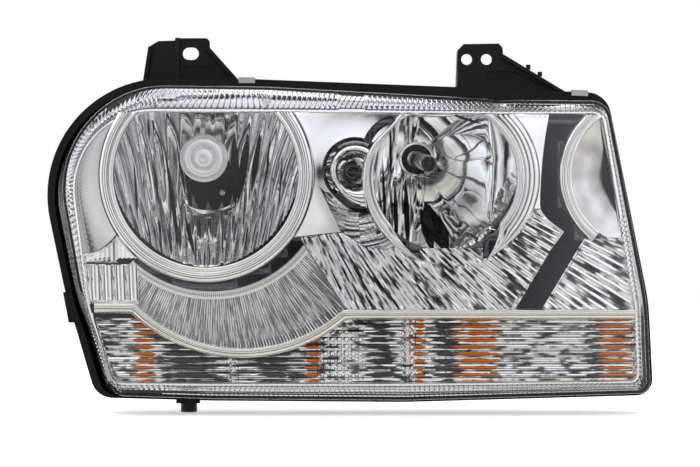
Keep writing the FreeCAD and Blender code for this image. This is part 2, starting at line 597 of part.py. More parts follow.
def twist_socket(centre, wall_back, hole_r, flange_r, seat, length):
    """Bulb holder turned into a hole from behind: stem, flange on its gasket, grip and connector inlet."""
    stem = rod(centre, hole_r - TRAVEL_GAP, seat, wall_back + 2)
    flange = rod(centre, flange_r, wall_back + 2, wall_back + 5)
    grip = rod(centre, flange_r - 4, wall_back + 5, wall_back + length)
    inlet = shroud(centre, wall_back + length, SHROUD[0] * 0.75, SHROUD[1] * 0.9, SHROUD_LENGTH * 0.6)
    return stem.fuse([flange, grip, inlet])


def gasket(centre, wall_back, hole_r, flange_r):
    return tube(centre, flange_r - 0.5, hole_r + 0.2, wall_back, wall_back + 2)


def boot(wall_centre, neck_axis, leans):
    """Soft cone that closes the gap between a reflector's neck and the housing."""
    start = UPPER_BACK - 11
    near = neck_point(neck_axis, start) if leans else neck_axis
    neck = rod(neck_axis, NECK_OUT, BOWL_VERTEX, BOWL_VERTEX + 40)
    if leans:
        neck = lean(neck, neck_axis)
    solids = []
    for swell in (0.0, 1.6):
        wires = [Part.Wire(Part.makeCircle(r, Vector(c[0], y, c[1]), BACKWARD))
                 for r, c, y in ((NECK_OUT + 1 + swell, near, start - swell / 2),
                                 (BOOT_HOLE_R - 2 + swell, wall_centre, UPPER_BACK + 2))]
        solids.append(Part.makeLoft(wires, True, True))
    cone = solids[1].cut(solids[0].fuse(rod(wall_centre, BOOT_HOLE_R - 2, UPPER_BACK + 1.9, UPPER_BACK + 9)))
    grip = tube(near, NECK_OUT + 2.6, NECK_OUT - 3, start - 3, start + 0.5).cut(neck)
    lip = tube(wall_centre, BOOT_HOLE_R + 3.5, BOOT_HOLE_R - 2, UPPER_BACK, UPPER_BACK + 2)
    return cone.fuse([grip, lip]).cut(neck)


def clip(x, z, slope):
    """Small spring clip over the housing rim."""
    top = box(x - 6, x + 6, -9, 9, z, z + 1.2)
    front = box(x - 6, x + 6, -9, -8, z - 3, z + 0.5)
    both = top.fuse(front)
    both.rotate(Vector(x, 0, z), BACKWARD, slope)
    return both


def vent_cap(centre):
    x, z = centre
    stem = tube(centre, 5.5, 3.0, UPPER_BACK, UPPER_BACK + 10)
    return stem.fuse(rod(centre, 5.5, UPPER_BACK + 10, UPPER_BACK + 12)).fuse(
        Part.makeCylinder(3.5, 14, Vector(x, UPPER_BACK + 7, z - 18)).cut(rod(centre, 4.5, 50, 90)))


def side_clip():
    block = plate([(-208, -38), (-204, -60), (-194, -60), (-198, -38)], -14, 8)
    notch = slab(FLANGE, 0, RIM_FRONT, RIM_BACK + 10)
    lens_space = slab(LENS, -CHANNEL_GAP, -40, 10)
    return block.cut(notch).cut(lens_space)


# ---- build ----------------------------------------------------------------------------------------
housing_solid = housing()
lens_space = slab(LENS, -CHANNEL_GAP, RIM_FRONT - 1, CHANNEL_FLOOR)
low_bowl = reflector(LOW_RING, LOW_BOWL_R, LOW_AXIS, LOW_FOCUS, LOW_ROOF, False)
high_bowl = reflector(HIGH_OPEN, HIGH_BOWL_R, HIGH_AXIS, HIGH_FOCUS, HIGH_ROOF, True)

save("housing", housing_solid)
save("outboard_bracket", outboard_bracket().cut(housing_solid).cut(lens_space))
save("inboard_bracket", inboard_bracket().cut(housing_solid).cut(lens_space))
save("lens", lens)
save("lens_seal", lens_seal())
save("bezel", bezel())
save("divider_strip", divider_strip())
save("crescent_trim", crescent_trim())
save("park_reflector", park_reflector())
save("inner_reflector", inner_reflector())
for name, span in CELLS.items():
    cell = lower_cell(*span)
    if name == "turn_cell":
        cell = cell.cut(rod(TURN, TURN_HOLE_R - 2, -10, 20))
    if name == "marker_cell":
        cell = cell.cut(rod(MARKER, MARKER_HOLE_R - 1, -10, 20))
    save(name, cell)

save("low_reflector", low_bowl)
save("high_reflector", high_bowl)
save("carrier", carrier())
save("pivot_sockets", Part.Compound([ball_socket(x, PIVOT_Z, RUNNING_GAP) for x in PIVOT_X]))
save("adjuster_socket", ball_socket(ADJUSTER_X, ADJUSTER_Z, TRAVEL_GAP))
save("pivot_studs", Part.Compound([pivot_stud(x) for x in PIVOT_X]))
save("pivot_nuts", Part.Compound([pivot_nut(x) for x in PIVOT_X]))
save("adjuster_housing", adjuster_housing())
save("adjuster_nut", adjuster_nut())
save("adjuster_stud", adjuster_stud())

save("low_bulb_glass", headlamp_glass(LOW_AXIS))
save("low_bulb_base", bulb_base(LOW_AXIS))
save("low_bulb_ring", bulb_ring(LOW_AXIS))
save("bulb_shield", bulb_shield())
save("high_bulb_glass", lean(headlamp_glass(HIGH_AXIS), HIGH_AXIS))
save("high_bulb_base", lean(bulb_base(HIGH_AXIS), HIGH_AXIS))
save("high_bulb_ring", lean(bulb_ring(HIGH_AXIS), HIGH_AXIS))

save("park_bulb", glass(PARK_AXIS, 4.8, -26, -4))
park_seat = TUNNEL_FLOOR + TUNNEL_WEB
save("park_socket", twist_socket(PARK_AXIS, park_seat, 6.3, 10.0, -4, PARK_GRIP))
save("park_gasket", gasket(PARK_AXIS, park_seat, PARK_HOLE_R, 10.0))
save("turn_bulb", glass(TURN, 9.5, -24, 6))
save("turn_socket", twist_socket(TURN, LOWER_BACK, TURN_HOLE_R - 2.6, 19.0, 6, 18))
save("turn_gasket", gasket(TURN, LOWER_BACK, TURN_HOLE_R, 19.0))
save("marker_bulb", glass(MARKER, 5.0, -18, 4))
save("marker_socket", twist_socket(MARKER, LOWER_BACK, MARKER_HOLE_R - 1.4, 13.0, 4, 14))
save("marker_gasket", gasket(MARKER, LOWER_BACK, MARKER_HOLE_R, 13.0))

save("low_boot", boot(LOW_AXIS, LOW_AXIS, False))
save("high_boot", boot(HIGH_HOLE, HIGH_AXIS, True))
save("lens_clips", Part.Compound([clip(-75, 117.0, 0.8), clip(167, 107.7, 2.2)]))
save("vent_caps", Part.Compound([vent_cap(vent) for vent in VENTS]))
save("side_clip", side_clip())
print("saved", len(os.listdir("parts")))
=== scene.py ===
import math
import random
import bpy
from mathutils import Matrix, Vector, geometry


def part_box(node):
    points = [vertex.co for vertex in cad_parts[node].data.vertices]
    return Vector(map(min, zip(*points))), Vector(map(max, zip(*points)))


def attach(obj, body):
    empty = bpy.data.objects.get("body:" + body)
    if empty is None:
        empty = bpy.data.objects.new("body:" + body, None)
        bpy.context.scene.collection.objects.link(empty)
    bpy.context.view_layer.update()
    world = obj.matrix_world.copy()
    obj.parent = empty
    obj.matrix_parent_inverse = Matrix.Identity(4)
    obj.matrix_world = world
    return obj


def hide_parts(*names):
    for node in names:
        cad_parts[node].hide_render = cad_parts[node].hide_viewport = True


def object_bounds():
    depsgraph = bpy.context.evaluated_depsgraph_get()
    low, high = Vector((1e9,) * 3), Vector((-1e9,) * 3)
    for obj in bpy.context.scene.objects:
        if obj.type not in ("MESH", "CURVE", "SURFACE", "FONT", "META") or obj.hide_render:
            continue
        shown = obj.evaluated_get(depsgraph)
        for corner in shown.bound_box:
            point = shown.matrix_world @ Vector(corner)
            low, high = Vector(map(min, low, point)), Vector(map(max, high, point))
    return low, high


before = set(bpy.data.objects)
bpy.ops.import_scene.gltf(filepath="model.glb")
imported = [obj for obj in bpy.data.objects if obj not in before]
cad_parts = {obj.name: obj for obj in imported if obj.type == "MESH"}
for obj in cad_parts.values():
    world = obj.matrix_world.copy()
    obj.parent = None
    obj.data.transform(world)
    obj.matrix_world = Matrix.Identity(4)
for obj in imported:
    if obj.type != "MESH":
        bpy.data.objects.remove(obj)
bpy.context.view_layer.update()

scene = bpy.context.scene

# ==== The lamp's middle and the camera ====
# Sizes below are millimetres from the lamp's middle: x towards the car's middle, y backwards from the
# housing rim, z up. The low-beam bulb's solid gives where that middle lies in the frame.
bulb_low, bulb_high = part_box("low_bulb_glass")
LOW_AXIS = (-104.0, 57.0)
GLASS_TIP = -18.0
MM = 0.001
LAMP = Vector(((bulb_low.x + bulb_high.x) / 2 - LOW_AXIS[0] * MM, bulb_low.y - GLASS_TIP * MM,
               (bulb_low.z + bulb_high.z) / 2 - LOW_AXIS[1] * MM))


def at(x, y, z):
    return LAMP + Vector((x, y, z)) * MM


camera_data = bpy.data.cameras.new("camera")
camera_data.lens = 150.0
camera_data.sensor_width = 36.0
camera_data.clip_end = 20.0
camera = bpy.data.objects.new("camera", camera_data)
camera.location = at(0.0, -2128.0, 4.64)
camera.rotation_euler = (math.radians(90), 0, 0)
scene.collection.objects.link(camera)
scene.camera = camera

# ==== Studio ====
# White room with soft walls all round the lamp. Only the small part of it in front of the lamp, and a ring
# about 42 to 49 degrees off the lamp's axis, are dark; the chrome shows them as its dark lines.
scene.view_settings.view_transform = "Standard"
scene.cycles.transparent_max_bounces = 24
scene.cycles.transmission_bounces = 16
scene.cycles.glossy_bounces = 10
scene.cycles.max_bounces = 18
world = bpy.data.worlds.new("studio")
world.use_nodes = True
scene.world = world


def node(tree, kind, links=(), **values):
    """A shader node with its values set, and its inputs joined to other nodes' outputs."""
    made = tree.nodes.new(kind)
    for key, value in values.items():
        setattr(made, key, value)
    for name, source in links:
        if hasattr(source, "is_output"):
            tree.links.new(source, made.inputs[name])
        else:
            made.inputs[name].default_value = source
    return made


def maths(tree, operation, *values):
    return node(tree, "ShaderNodeMath", list(enumerate(values)), operation=operation).outputs[0]


def ramp(tree, source, stops):
    made = node(tree, "ShaderNodeValToRGB", [("Fac", source)])
    made.color_ramp.elements.remove(made.color_ramp.elements[1])
    made.color_ramp.elements[0].position = stops[0][0]
    made.color_ramp.elements[0].color = (*stops[0][1], 1)
    for place, colour in stops[1:]:
        made.color_ramp.elements.new(place).color = (*colour, 1)
    return made.outputs["Color"]


sky = world.node_tree
sky.nodes.clear()
way = node(sky, "ShaderNodeSeparateXYZ", [("Vector", node(sky, "ShaderNodeTexCoord").outputs["Generated"])])
towards = maths(sky, "MULTIPLY", way.outputs["Y"], -1.0)
off_axis = maths(sky, "DIVIDE", maths(sky, "ARCCOSINE", towards), math.pi)
soft = ramp(sky, off_axis, [(0.0, (0.03, 0.03, 0.033)), (0.022, (0.05, 0.05, 0.055)), (0.045, (0.42, 0.42, 0.43)),
                            (0.09, (0.66, 0.66, 0.66)), (0.16, (0.78, 0.78, 0.78)), (0.205, (0.50, 0.50, 0.50)),
                            (0.235, (0.05, 0.05, 0.06)), (0.27, (0.02, 0.02, 0.024)), (0.30, (0.45, 0.45, 0.44)),
                            (0.40, (0.84, 0.84, 0.83)), (0.56, (0.95, 0.95, 0.95)), (1.0, (0.85, 0.85, 0.85))])
height = maths(sky, "MULTIPLY_ADD", way.outputs["Z"], 0.5, 0.5)
shade = ramp(sky, height, [(0.0, (0.80, 0.76, 0.70)), (0.35, (0.86, 0.84, 0.80)), (0.6, (0.93, 0.96, 1.0)),
                           (1.0, (1.15, 1.17, 1.2))])
clouds = node(sky, "ShaderNodeTexNoise", [("Vector", node(sky, "ShaderNodeTexCoord").outputs["Generated"]),
                                          ("Scale", 2.4), ("Detail", 1.0)])
uneven = maths(sky, "MULTIPLY_ADD", clouds.outputs["Fac"], 2.1, 0.38)
lit = node(sky, "ShaderNodeMix", [(0, 1.0), (6, soft), (7, shade)], data_type="RGBA", blend_type="MULTIPLY")
strength = node(sky, "ShaderNodeBackground", [("Color", lit.outputs[2]), ("Strength", uneven)])
plain = node(sky, "ShaderNodeBackground", [("Color", (1, 1, 1, 1)), ("Strength", 1.0)])
seen = node(sky, "ShaderNodeLightPath").outputs["Is Camera Ray"]
mixed = node(sky, "ShaderNodeMixShader", [(0, seen), (1, strength.outputs[0]), (2, plain.outputs[0])])
node(sky, "ShaderNodeOutputWorld", [("Surface", mixed.outputs[0])])

key_data = bpy.data.lights.new("key", "AREA")
key_data.shape = "RECTANGLE"
key_data.size = 1.2
key_data.size_y = 0.5
key_data.energy = 9.0
key = bpy.data.objects.new("key", key_data)
key.location = at(-300, -900, 1100)
key.rotation_euler = (Vector(LAMP) - key.location).to_track_quat("-Z", "Y").to_euler()
key.visible_glossy = False
key.visible_transmission = False
scene.collection.objects.link(key)

FLOOR_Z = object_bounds()[0].z - 0.0005
floor_mesh = bpy.data.meshes.new("floor")
floor_mesh.from_pydata([(-3, -3, FLOOR_Z), (3, -3, FLOOR_Z), (3, 3, FLOOR_Z), (-3, 3, FLOOR_Z)], [], [(0, 1, 2, 3)])
floor = bpy.data.objects.new("floor", floor_mesh)
scene.collection.objects.link(floor)
paper = bpy.data.materials.new("pale paper")
paper.use_nodes = True
paper_shader = paper.node_tree.nodes["Principled BSDF"]
paper_shader.inputs["Base Color"].default_value = (0.92, 0.92, 0.92, 1)
paper_shader.inputs["Roughness"].default_value = 0.9
paper_shader.inputs["Emission Color"].default_value = (1, 1, 1, 1)
paper_shader.inputs["Emission Strength"].default_value = 0.42
floor_mesh.materials.append(paper)
floor.visible_glossy = False
floor.visible_transmission = False

# ==== Housing ====
# Black glass-filled polypropylene box with its two brackets moulded on. Satin from the tool's fine
# spark grain, a little duller and greyer where dust settles.


def mould_grain():
    """Group: roughness, surface height and dust mask of a moulded plastic skin."""
    group = bpy.data.node_groups.new("moulded skin", "ShaderNodeTree")
    for name, value in (("Grain", 900.0), ("Smooth", 0.3), ("Dull", 0.5)):
        group.interface.new_socket(name, in_out="INPUT", socket_type="NodeSocketFloat").default_value = value
    for name in ("Roughness", "Height", "Dust"):
        group.interface.new_socket(name, in_out="OUTPUT", socket_type="NodeSocketFloat")
    given = group.nodes.new("NodeGroupInput")
    place = node(group, "ShaderNodeTexCoord").outputs["Object"]
    broad = node(group, "ShaderNodeTexNoise", [("Vector", place), ("Scale", 22.0), ("Detail", 4.0)])
    fine = node(group, "ShaderNodeTexNoise", [("Vector", place), ("Scale", given.outputs["Grain"]), ("Detail", 2.0)])
    rough = node(group, "ShaderNodeMapRange", [("Value", broad.outputs["Fac"]), ("From Min", 0.35), ("From Max", 0.65),
                                               ("To Min", given.outputs["Smooth"]), ("To Max", given.outputs["Dull"])])
    dust = node(group, "ShaderNodeMapRange", [("Value", broad.outputs["Fac"]), ("From Min", 0.5), ("From Max", 0.8)])
    out = group.nodes.new("NodeGroupOutput")
    group.links.new(rough.outputs[0], out.inputs["Roughness"])
    group.links.new(fine.outputs["Fac"], out.inputs["Height"])
    group.links.new(dust.outputs[0], out.inputs["Dust"])
    return group


MOULDED = mould_grain()


def moulded(name, colour, smooth, dull, grain=900.0, bump=0.12, dusty=None, metallic=0.0, sheen=0.4):
    """A moulded, cast or rolled skin with its own colour, gloss range and grain."""
    made = bpy.data.materials.new(name)
    made.use_nodes = True
    tree = made.node_tree
    shader = tree.nodes["Principled BSDF"]
    skin = node(tree, "ShaderNodeGroup", node_tree=MOULDED)
    skin.inputs["Grain"].default_value = grain
    skin.inputs["Smooth"].default_value = smooth
    skin.inputs["Dull"].default_value = dull
    pale = dusty or tuple(min(1.0, c * 1.5 + 0.012) for c in colour)
    tint = node(tree, "ShaderNodeMix", [(0, skin.outputs["Dust"]), (6, (*colour, 1)), (7, (*pale, 1))],
                data_type="RGBA")
    relief = node(tree, "ShaderNodeBump", [("Height", skin.outputs["Height"]), ("Strength", bump),
                                           ("Distance", 0.0002)])
    tree.links.new(tint.outputs[2], shader.inputs["Base Color"])
    tree.links.new(skin.outputs["Roughness"], shader.inputs["Roughness"])
    tree.links.new(relief.outputs["Normal"], shader.inputs["Normal"])
    shader.inputs["Metallic"].default_value = metallic
    shader.inputs["Specular IOR Level"].default_value = 0.5 if metallic else sheen
    return made


def dress(name, finish):
    """Gives a CAD node its finish."""
    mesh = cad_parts[name].data
    mesh.materials.clear()
    mesh.materials.append(finish)


BLACK = moulded("black polypropylene", (0.004, 0.004, 0.0045), 0.3, 0.5, dusty=(0.008, 0.008, 0.009), sheen=0.22)
dress("housing", BLACK)
for name in ("side_clip", "outboard_bracket", "inboard_bracket"):
    dress(name, BLACK)

# ==== Chrome finish and mesh helpers for the trim ====
# The bezel, rings, cells and bowls are moulded plastic with aluminium evaporated on and a clear
# lacquer over it, so the finish is a mirror with a faint ripple and a slight tint.


def plating():
    """Group: tint mask, roughness and ripple of an evaporated aluminium mirror."""
    group = bpy.data.node_groups.new("plating", "ShaderNodeTree")
    for name, value in (("Smooth", 0.03), ("Hazy", 0.08)):
        group.interface.new_socket(name, in_out="INPUT", socket_type="NodeSocketFloat").default_value = value
    for name in ("Tint", "Roughness", "Height"):
        group.interface.new_socket(name, in_out="OUTPUT", socket_type="NodeSocketFloat")
    given = group.nodes.new("NodeGroupInput")
    place = node(group, "ShaderNodeTexCoord").outputs["Object"]
    broad = node(group, "ShaderNodeTexNoise", [("Vector", place), ("Scale", 30.0), ("Detail", 3.0)])
    ripple = node(group, "ShaderNodeTexNoise", [("Vector", place), ("Scale", 75.0), ("Detail", 1.0)])
    rough = node(group, "ShaderNodeMapRange", [("Value", broad.outputs["Fac"]), ("From Min", 0.3), ("From Max", 0.7),
                                               ("To Min", given.outputs["Smooth"]), ("To Max", given.outputs["Hazy"])])
    out = group.nodes.new("NodeGroupOutput")
    group.links.new(broad.outputs["Fac"], out.inputs["Tint"])
    group.links.new(rough.outputs[0], out.inputs["Roughness"])
    group.links.new(ripple.outputs["Fac"], out.inputs["Height"])
    return group


PLATING = plating()


def plated(name, colour, warm, smooth=0.03, hazy=0.09, ripple=0.25):
    made = bpy.data.materials.new(name)
    made.use_nodes = True
    tree = made.node_tree
    shader = tree.nodes["Principled BSDF"]
    skin = node(tree, "ShaderNodeGroup", node_tree=PLATING)
    skin.inputs["Smooth"].default_value = smooth
    skin.inputs["Hazy"].default_value = hazy
    tint = node(tree, "ShaderNodeMix", [(0, skin.outputs["Tint"]), (6, (*colour, 1)), (7, (*warm, 1))],
                data_type="RGBA")
    relief = node(tree, "ShaderNodeBump", [("Height", skin.outputs["Height"]), ("Strength", ripple),
                                           ("Distance", 0.0004)])
    tree.links.new(tint.outputs[2], shader.inputs["Base Color"])
    tree.links.new(skin.outputs["Roughness"], shader.inputs["Roughness"])
    tree.links.new(relief.outputs["Normal"], shader.inputs["Normal"])
    shader.inputs["Metallic"].default_value = 1.0
    return made


CHROME = plated("bright chrome", (0.93, 0.94, 0.95), (0.90, 0.89, 0.87))
CHAMPAGNE = plated("champagne chrome", (0.90, 0.87, 0.82), (0.84, 0.80, 0.74), 0.06, 0.14)
SHEET = 1.0


def piece(name, points, faces, finish, body="housing", slot=None, stands_for=(), sharp=38.0, thick=0.0):
    """A mesh in the lamp's millimetres, riding on its body. Thick sheets get their back face."""
    mesh = bpy.data.meshes.new(name)
    mesh.from_pydata([at(*p) for p in points], [], faces)
    mesh.validate()
    for polygon in mesh.polygons:
        polygon.use_smooth = True
    mesh.set_sharp_from_angle(angle=math.radians(sharp))
    mesh.materials.append(finish)
    made = bpy.data.objects.new(name, mesh)
    scene.collection.objects.link(made)
    if thick:
        wall = made.modifiers.new("wall", "SOLIDIFY")
        wall.thickness = thick * MM
        wall.offset = -1.0
    if body:
        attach(made, body)
    if stands_for:
        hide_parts(*stands_for)
    return made


def smooth_skin(made, depth):
    """Give a sheet the exact normals of its depth function, so that its mirror image bends evenly."""
    normals = []
    for vertex in made.data.vertices:
        x, z = (vertex.co.x - LAMP.x) / MM, (vertex.co.z - LAMP.z) / MM
        slope_x = (depth(x + 0.2, z) - depth(x - 0.2, z)) / 0.4
        slope_z = (depth(x, z + 0.2) - depth(x, z - 0.2)) / 0.4
        normals.append(Vector((slope_x, -1, slope_z)).normalized())
    made.data.normals_split_custom_set_from_vertices(normals)


def place_mm(tree):
    """Object position as millimetres from the lamp's middle."""
    place = node(tree, "ShaderNodeSeparateXYZ", [("Vector", node(tree, "ShaderNodeTexCoord").outputs["Object"])])
    return [maths(tree, "MULTIPLY", maths(tree, "SUBTRACT", place.outputs[axis], start), 1000.0)
            for axis, start in (("X", LAMP.x), ("Z", LAMP.z))]


def streaks(made, across, along, stops, detail=2.0):
    """Darken a chrome finish with painted dark reflections in uneven streaks: across counts flutes, along runs down
    them.
    """
    tree = made.node_tree
    shader = tree.nodes["Principled BSDF"]
    spot = node(tree, "ShaderNodeCombineXYZ", [("X", across), ("Z", along)])
    patches = node(tree, "ShaderNodeTexNoise", [("Vector", spot.outputs[0]), ("Scale", 1.0), ("Detail", detail)])
    tint = ramp(tree, patches.outputs["Fac"], [(place, (tone, tone, tone * 1.01)) for place, tone in stops])
    mixed = node(tree, "ShaderNodeMix", [(0, 1.0), (6, shader.inputs["Base Color"].links[0].from_socket), (7, tint)],
                 data_type="RGBA", blend_type="MULTIPLY")
    tree.links.new(mixed.outputs[2], shader.inputs["Base Color"])
    return made


def fan_painted_reflections(name, centre, pitch, fine, stretch, stops):
    """Chrome with dark reflections painted in streaks that run out from a centre."""
    made = plated(name, (0.95, 0.955, 0.96), (0.91, 0.91, 0.90), 0.03, 0.08, 0.2)
    tree = made.node_tree
    x_mm, z_mm = place_mm(tree)
    dx = maths(tree, "SUBTRACT", x_mm, centre[0])
    dz = maths(tree, "SUBTRACT", z_mm, centre[1])
    turn = maths(tree, "MULTIPLY", maths(tree, "ARCTAN2", dz, dx), math.degrees(1) * fine / pitch)
    turn = maths(tree, "MULTIPLY", maths(tree, "FLOOR", turn), 3.7)
    reach = maths(tree, "SQRT", maths(tree, "ADD", maths(tree, "MULTIPLY", dx, dx), maths(tree, "MULTIPLY", dz, dz)))
    return streaks(made, turn, maths(tree, "MULTIPLY", reach, stretch), stops)


def loft(rows, closed=False):
    """Points and four-sided faces through rows of equal length. Closed joins each row's ends."""
    width = len(rows[0])
    points = [p for row in rows for p in row]
    faces = []
    for r in range(len(rows) - 1):
        for i in range(width if closed else width - 1):
            j = (i + 1) % width
            faces.append((r * width + i, r * width + j, (r + 1) * width + j, (r + 1) * width + i))
    return points, faces


def circle(centre, radius, start=0.0, end=360.0, step=2.0):
    count = max(2, int(abs(end - start) / step))
    return [(centre[0] + radius * math.cos(math.radians(start + (end - start) * i / count)),
             centre[1] + radius * math.sin(math.radians(start + (end - start) * i / count)))
            for i in range(count + 1)]


def sheet(curves, keep, depth, lattice):
    """A surface over the x-z plane: cut along the curves, kept where keep() says, y from depth()."""
    flat = []
    edges = []
    for curve in curves:
        first = len(flat)
        flat += [Vector(p) for p in curve]
        edges += [(i, i + 1) for i in range(first, len(flat) - 1)]
    flat += [Vector(p) for p in lattice if keep(*p)]
    result = geometry.delaunay_2d_cdt(flat, edges, [], 0, 1e-4)
    corners = result[0]
    faces = []
    for face in result[2]:
        middle = sum((corners[i] for i in face), Vector((0, 0))) / len(face)
        if keep(middle.x, middle.y):
            faces.append(tuple(face))
    used = sorted({i for face in faces for i in face})
    number = {old: new for new, old in enumerate(used)}
    points = [(corners[i].x, depth(corners[i].x, corners[i].y), corners[i].y) for i in used]
    return points, [tuple(number[i] for i in face) for face in faces]


def grid(x0, x1, z0, z1, step_x, step_z=None):
    step_z = step_z or step_x
    return [(x0 + i * step_x, z0 + j * step_z) for i in range(int((x1 - x0) / step_x) + 1)
            for j in range(int((z1 - z0) / step_z) + 1)]


def cusp(phase):
    """One convex flute: 0 in its groove, 1 on its crest."""
    part = phase - math.floor(phase)
    return 1 - (2 * part - 1) ** 2


def far(point, centre):
    return math.hypot(point[0] - centre[0], point[1] - centre[1])


# ==== Lens outline ====
# The lens, bezel window and fluted border share rounded outlines with one corner list each; the same
# station on each list gives matching points round the lamp.
LENS = [(-178.6, -112.4, 14), (-100, -114.7, 300), (40, -115.7, 300), (217.6, -110.6, 10),
        (214.2, -45, 160), (185.2, 101.2, 16), (110, 101.6, 400), (-60, 110.8, 300),
        (-232.5, 113, 80), (-201.5, -38, 200)]
FACE = [(-164, -110.5, 8), (-100, -112.5, 300), (40, -113.5, 300), (213, -108.6, 8),
        (210.5, -45, 160), (183, 98.5, 14), (110, 99.3, 400), (-60, 108.6, 300),
        (-215, 111, 72), (-190, -38, 200)]
WINDOW = [(-169.3, -102.8, 8), (-100, -103.4, 300), (40, -103.4, 300), (206.4, -101.6, 6),
          (204.6, -48, 100), (180.6, 91.2, 8), (110, 91.0, 400), (-60, 92.4, 300),
          (-205, 93, 57), (-187.5, -44, 150)]
FLUTES = 330
PER_FLUTE = 4


def rounded(corners, inset=0.0):
    """The outline's sides and corner arcs: start, middle control and end of each corner."""
    count = len(corners)
    sides = []
    for i in range(count):
        a = Vector(corners[i][:2])
        b = Vector(corners[(i + 1) % count][:2])
        along = (b - a).normalized()
        sides.append((a + Vector((-along.y, along.x)) * inset, along))
    arcs = []
    for i in range(count):
        (p, u), (q, v) = sides[i - 1], sides[i]
        cross = u.x * v.y - u.y * v.x
        here = p + u * (((q.x - p.x) * v.y - (q.y - p.y) * v.x) / cross)
        radius = max(corners[i][2] - inset, 1.0)
        half = math.acos(max(-1.0, min(1.0, u.dot(v)))) / 2
        reach = radius * math.tan(half)
        centre = here - u * reach + Vector((-u.y, u.x)) * radius
        arcs.append((centre, radius, half * 2, here - u * reach, here + v * reach))
    return arcs


def stations(corners, count):
    """Evenly spaced places round an outline, as (corner number, arc or side, share along it)."""
    arcs = rounded(corners)
    spans = []
    for i, (centre, radius, turn, start, end) in enumerate(arcs):
        spans.append((i, True, radius * turn))
        spans.append((i, False, (arcs[(i + 1) % len(arcs)][3] - end).length))
    total = sum(s[2] for s in spans)
    places = []
    for k in range(count):
        run = total * k / count
        for i, is_arc, length in spans:
            if run <= length:
                places.append((i, is_arc, run / max(length, 1e-9)))
                break
            run -= length
        else:
            places.append((0, True, 0.0))
    return places


def walk(corners, places, inset=0.0):
    arcs = rounded(corners, inset)
    points = []
    for i, is_arc, share in places:
        centre, radius, turn, start, end = arcs[i]
        if is_arc:
            spoke = start - centre
            angle = turn * share
            points.append((centre.x + spoke.x * math.cos(angle) - spoke.y * math.sin(angle),
                           centre.y + spoke.x * math.sin(angle) + spoke.y * math.cos(angle)))
        else:
            follow = arcs[(i + 1) % len(arcs)][3]
            there = end + (follow - end) * share
            points.append((there.x, there.y))
    return points


ROUND = stations(FACE, FLUTES * PER_FLUTE)
COARSE = stations(WINDOW, 420)


def inside(loop, x, z):
    hit = False
    for i in range(len(loop)):
        x0, z0 = loop[i - 1]
        x1, z1 = loop[i]
        if (z0 > z) != (z1 > z) and x < (x1 - x0) * (z - z0) / (z1 - z0) + x0:
            hit = not hit
    return hit


# ==== Clear lens ====
# Polycarbonate cover, 2.6 mm thick with a hard coat. Its border is fluted on the inside so that the
# dark channel behind it does not show; the front is smooth and slightly crowned.
CROWN_R = 3200.0
CROWN_X = 40.0
LENS_FRONT = -62.0
LENS_WALL = 2.6


def crown(x, z):
    return LENS_FRONT + CROWN_R - math.sqrt(CROWN_R ** 2 - (x - CROWN_X) ** 2 - z * z)


def blend2(a, b, t):
    return (a[0] + (b[0] - a[0]) * t, a[1] + (b[1] - a[1]) * t)


def lens_side(outer, inner, y):
    share = (-2.0 - y) / 64.0
    return [blend2(a, b, max(0.0, share)) for a, b in zip(outer, inner)]


def flute_height(k, v, x, z):
    """Height of the border's relief: k counts stations, v runs from the lens edge to the window."""
    turn = k / PER_FLUTE
    if z > 84 and x > -150:
        return 0.0 if -8 < x < 11 else 0.30 * cusp(turn + 0.35 * v)
    if x > 150:
        return 0.35 * cusp(turn + 1.5 * v)
    if z < -95:
        return 0.35 * cusp(turn * 2 + (2.0 if v > 0.5 else -2.0) * v)
    return 0.18 * cusp(turn)


outer_lens = walk(LENS, ROUND)
outer_face = walk(FACE, ROUND)
window_loop = walk(WINDOW, ROUND, -1.2)
rows = [[(x, 5.0, z) for x, z in outer_lens], [(x, -2.0, z) for x, z in outer_lens]]
for y in (-12.0, -22.0, -32.0, -42.0):
    rows.append([(x, y, z) for x, z in lens_side(outer_lens, outer_face, y)])
edge = []
for a, b in zip(outer_lens, outer_face):
    spot = blend2(a, b, (-2.0 - crown(*b) - 2.5) / 64.0)
    edge.append(spot)
rows.append([(x, crown(x, z) + 2.5, z) for x, z in edge])
for inward, back in ((0.02, 1.2), (0.06, 0.35), (0.12, 0.0), (0.5, 0.0), (1.0, 0.0)):
    rows.append([(x, crown(x, z) + back, z) for x, z in
                 (blend2(e, w, inward) for e, w in zip(edge, window_loop))])
for shrink in (0.9, 0.75, 0.55, 0.35, 0.15):
    rows.append([(x * shrink, crown(x * shrink, z * shrink), z * shrink) for x, z in window_loop])
lens_points, lens_faces = loft(rows, True)
last = len(lens_points) - len(window_loop)
lens_points.append((0, crown(0, 0), 0))
lens_faces += [(last + (i + 1) % len(window_loop), last + i, len(lens_points) - 1)[::-1]
               for i in range(len(window_loop))]
inner_lens = walk(LENS, ROUND, LENS_WALL)
inner_face = walk(FACE, ROUND, LENS_WALL)
rows = [[(x, 5.0, z) for x, z in inner_lens], [(x, -2.0, z) for x, z in inner_lens]]
for y in (-12.0, -22.0, -32.0, -42.0):
    rows.append([(x, y, z) for x, z in lens_side(inner_lens, inner_face, y)])
inner_edge = [blend2(a, b, (-2.0 - crown(*b) - 4.0) / 64.0) for a, b in zip(inner_lens, inner_face)]
BANDS = 18
for r in range(BANDS + 1):
    v = r / BANDS
    row = []
    for k, (e, w) in enumerate(zip(inner_edge, window_loop)):
        x, z = blend2(e, w, v)
        fade = min(1.0, v * 8, (1 - v) * 8)
        row.append((x, crown(x, z) + LENS_WALL + fade * flute_height(k, v, x, z), z))
    rows.append(row)
for shrink in (0.97, 0.75, 0.55, 0.35, 0.15):
    rows.append([(x * shrink, crown(x * shrink, z * shrink) + LENS_WALL, z * shrink) for x, z in window_loop])
inner_points, inner_faces = loft(rows, True)
last = len(inner_points) - len(window_loop)
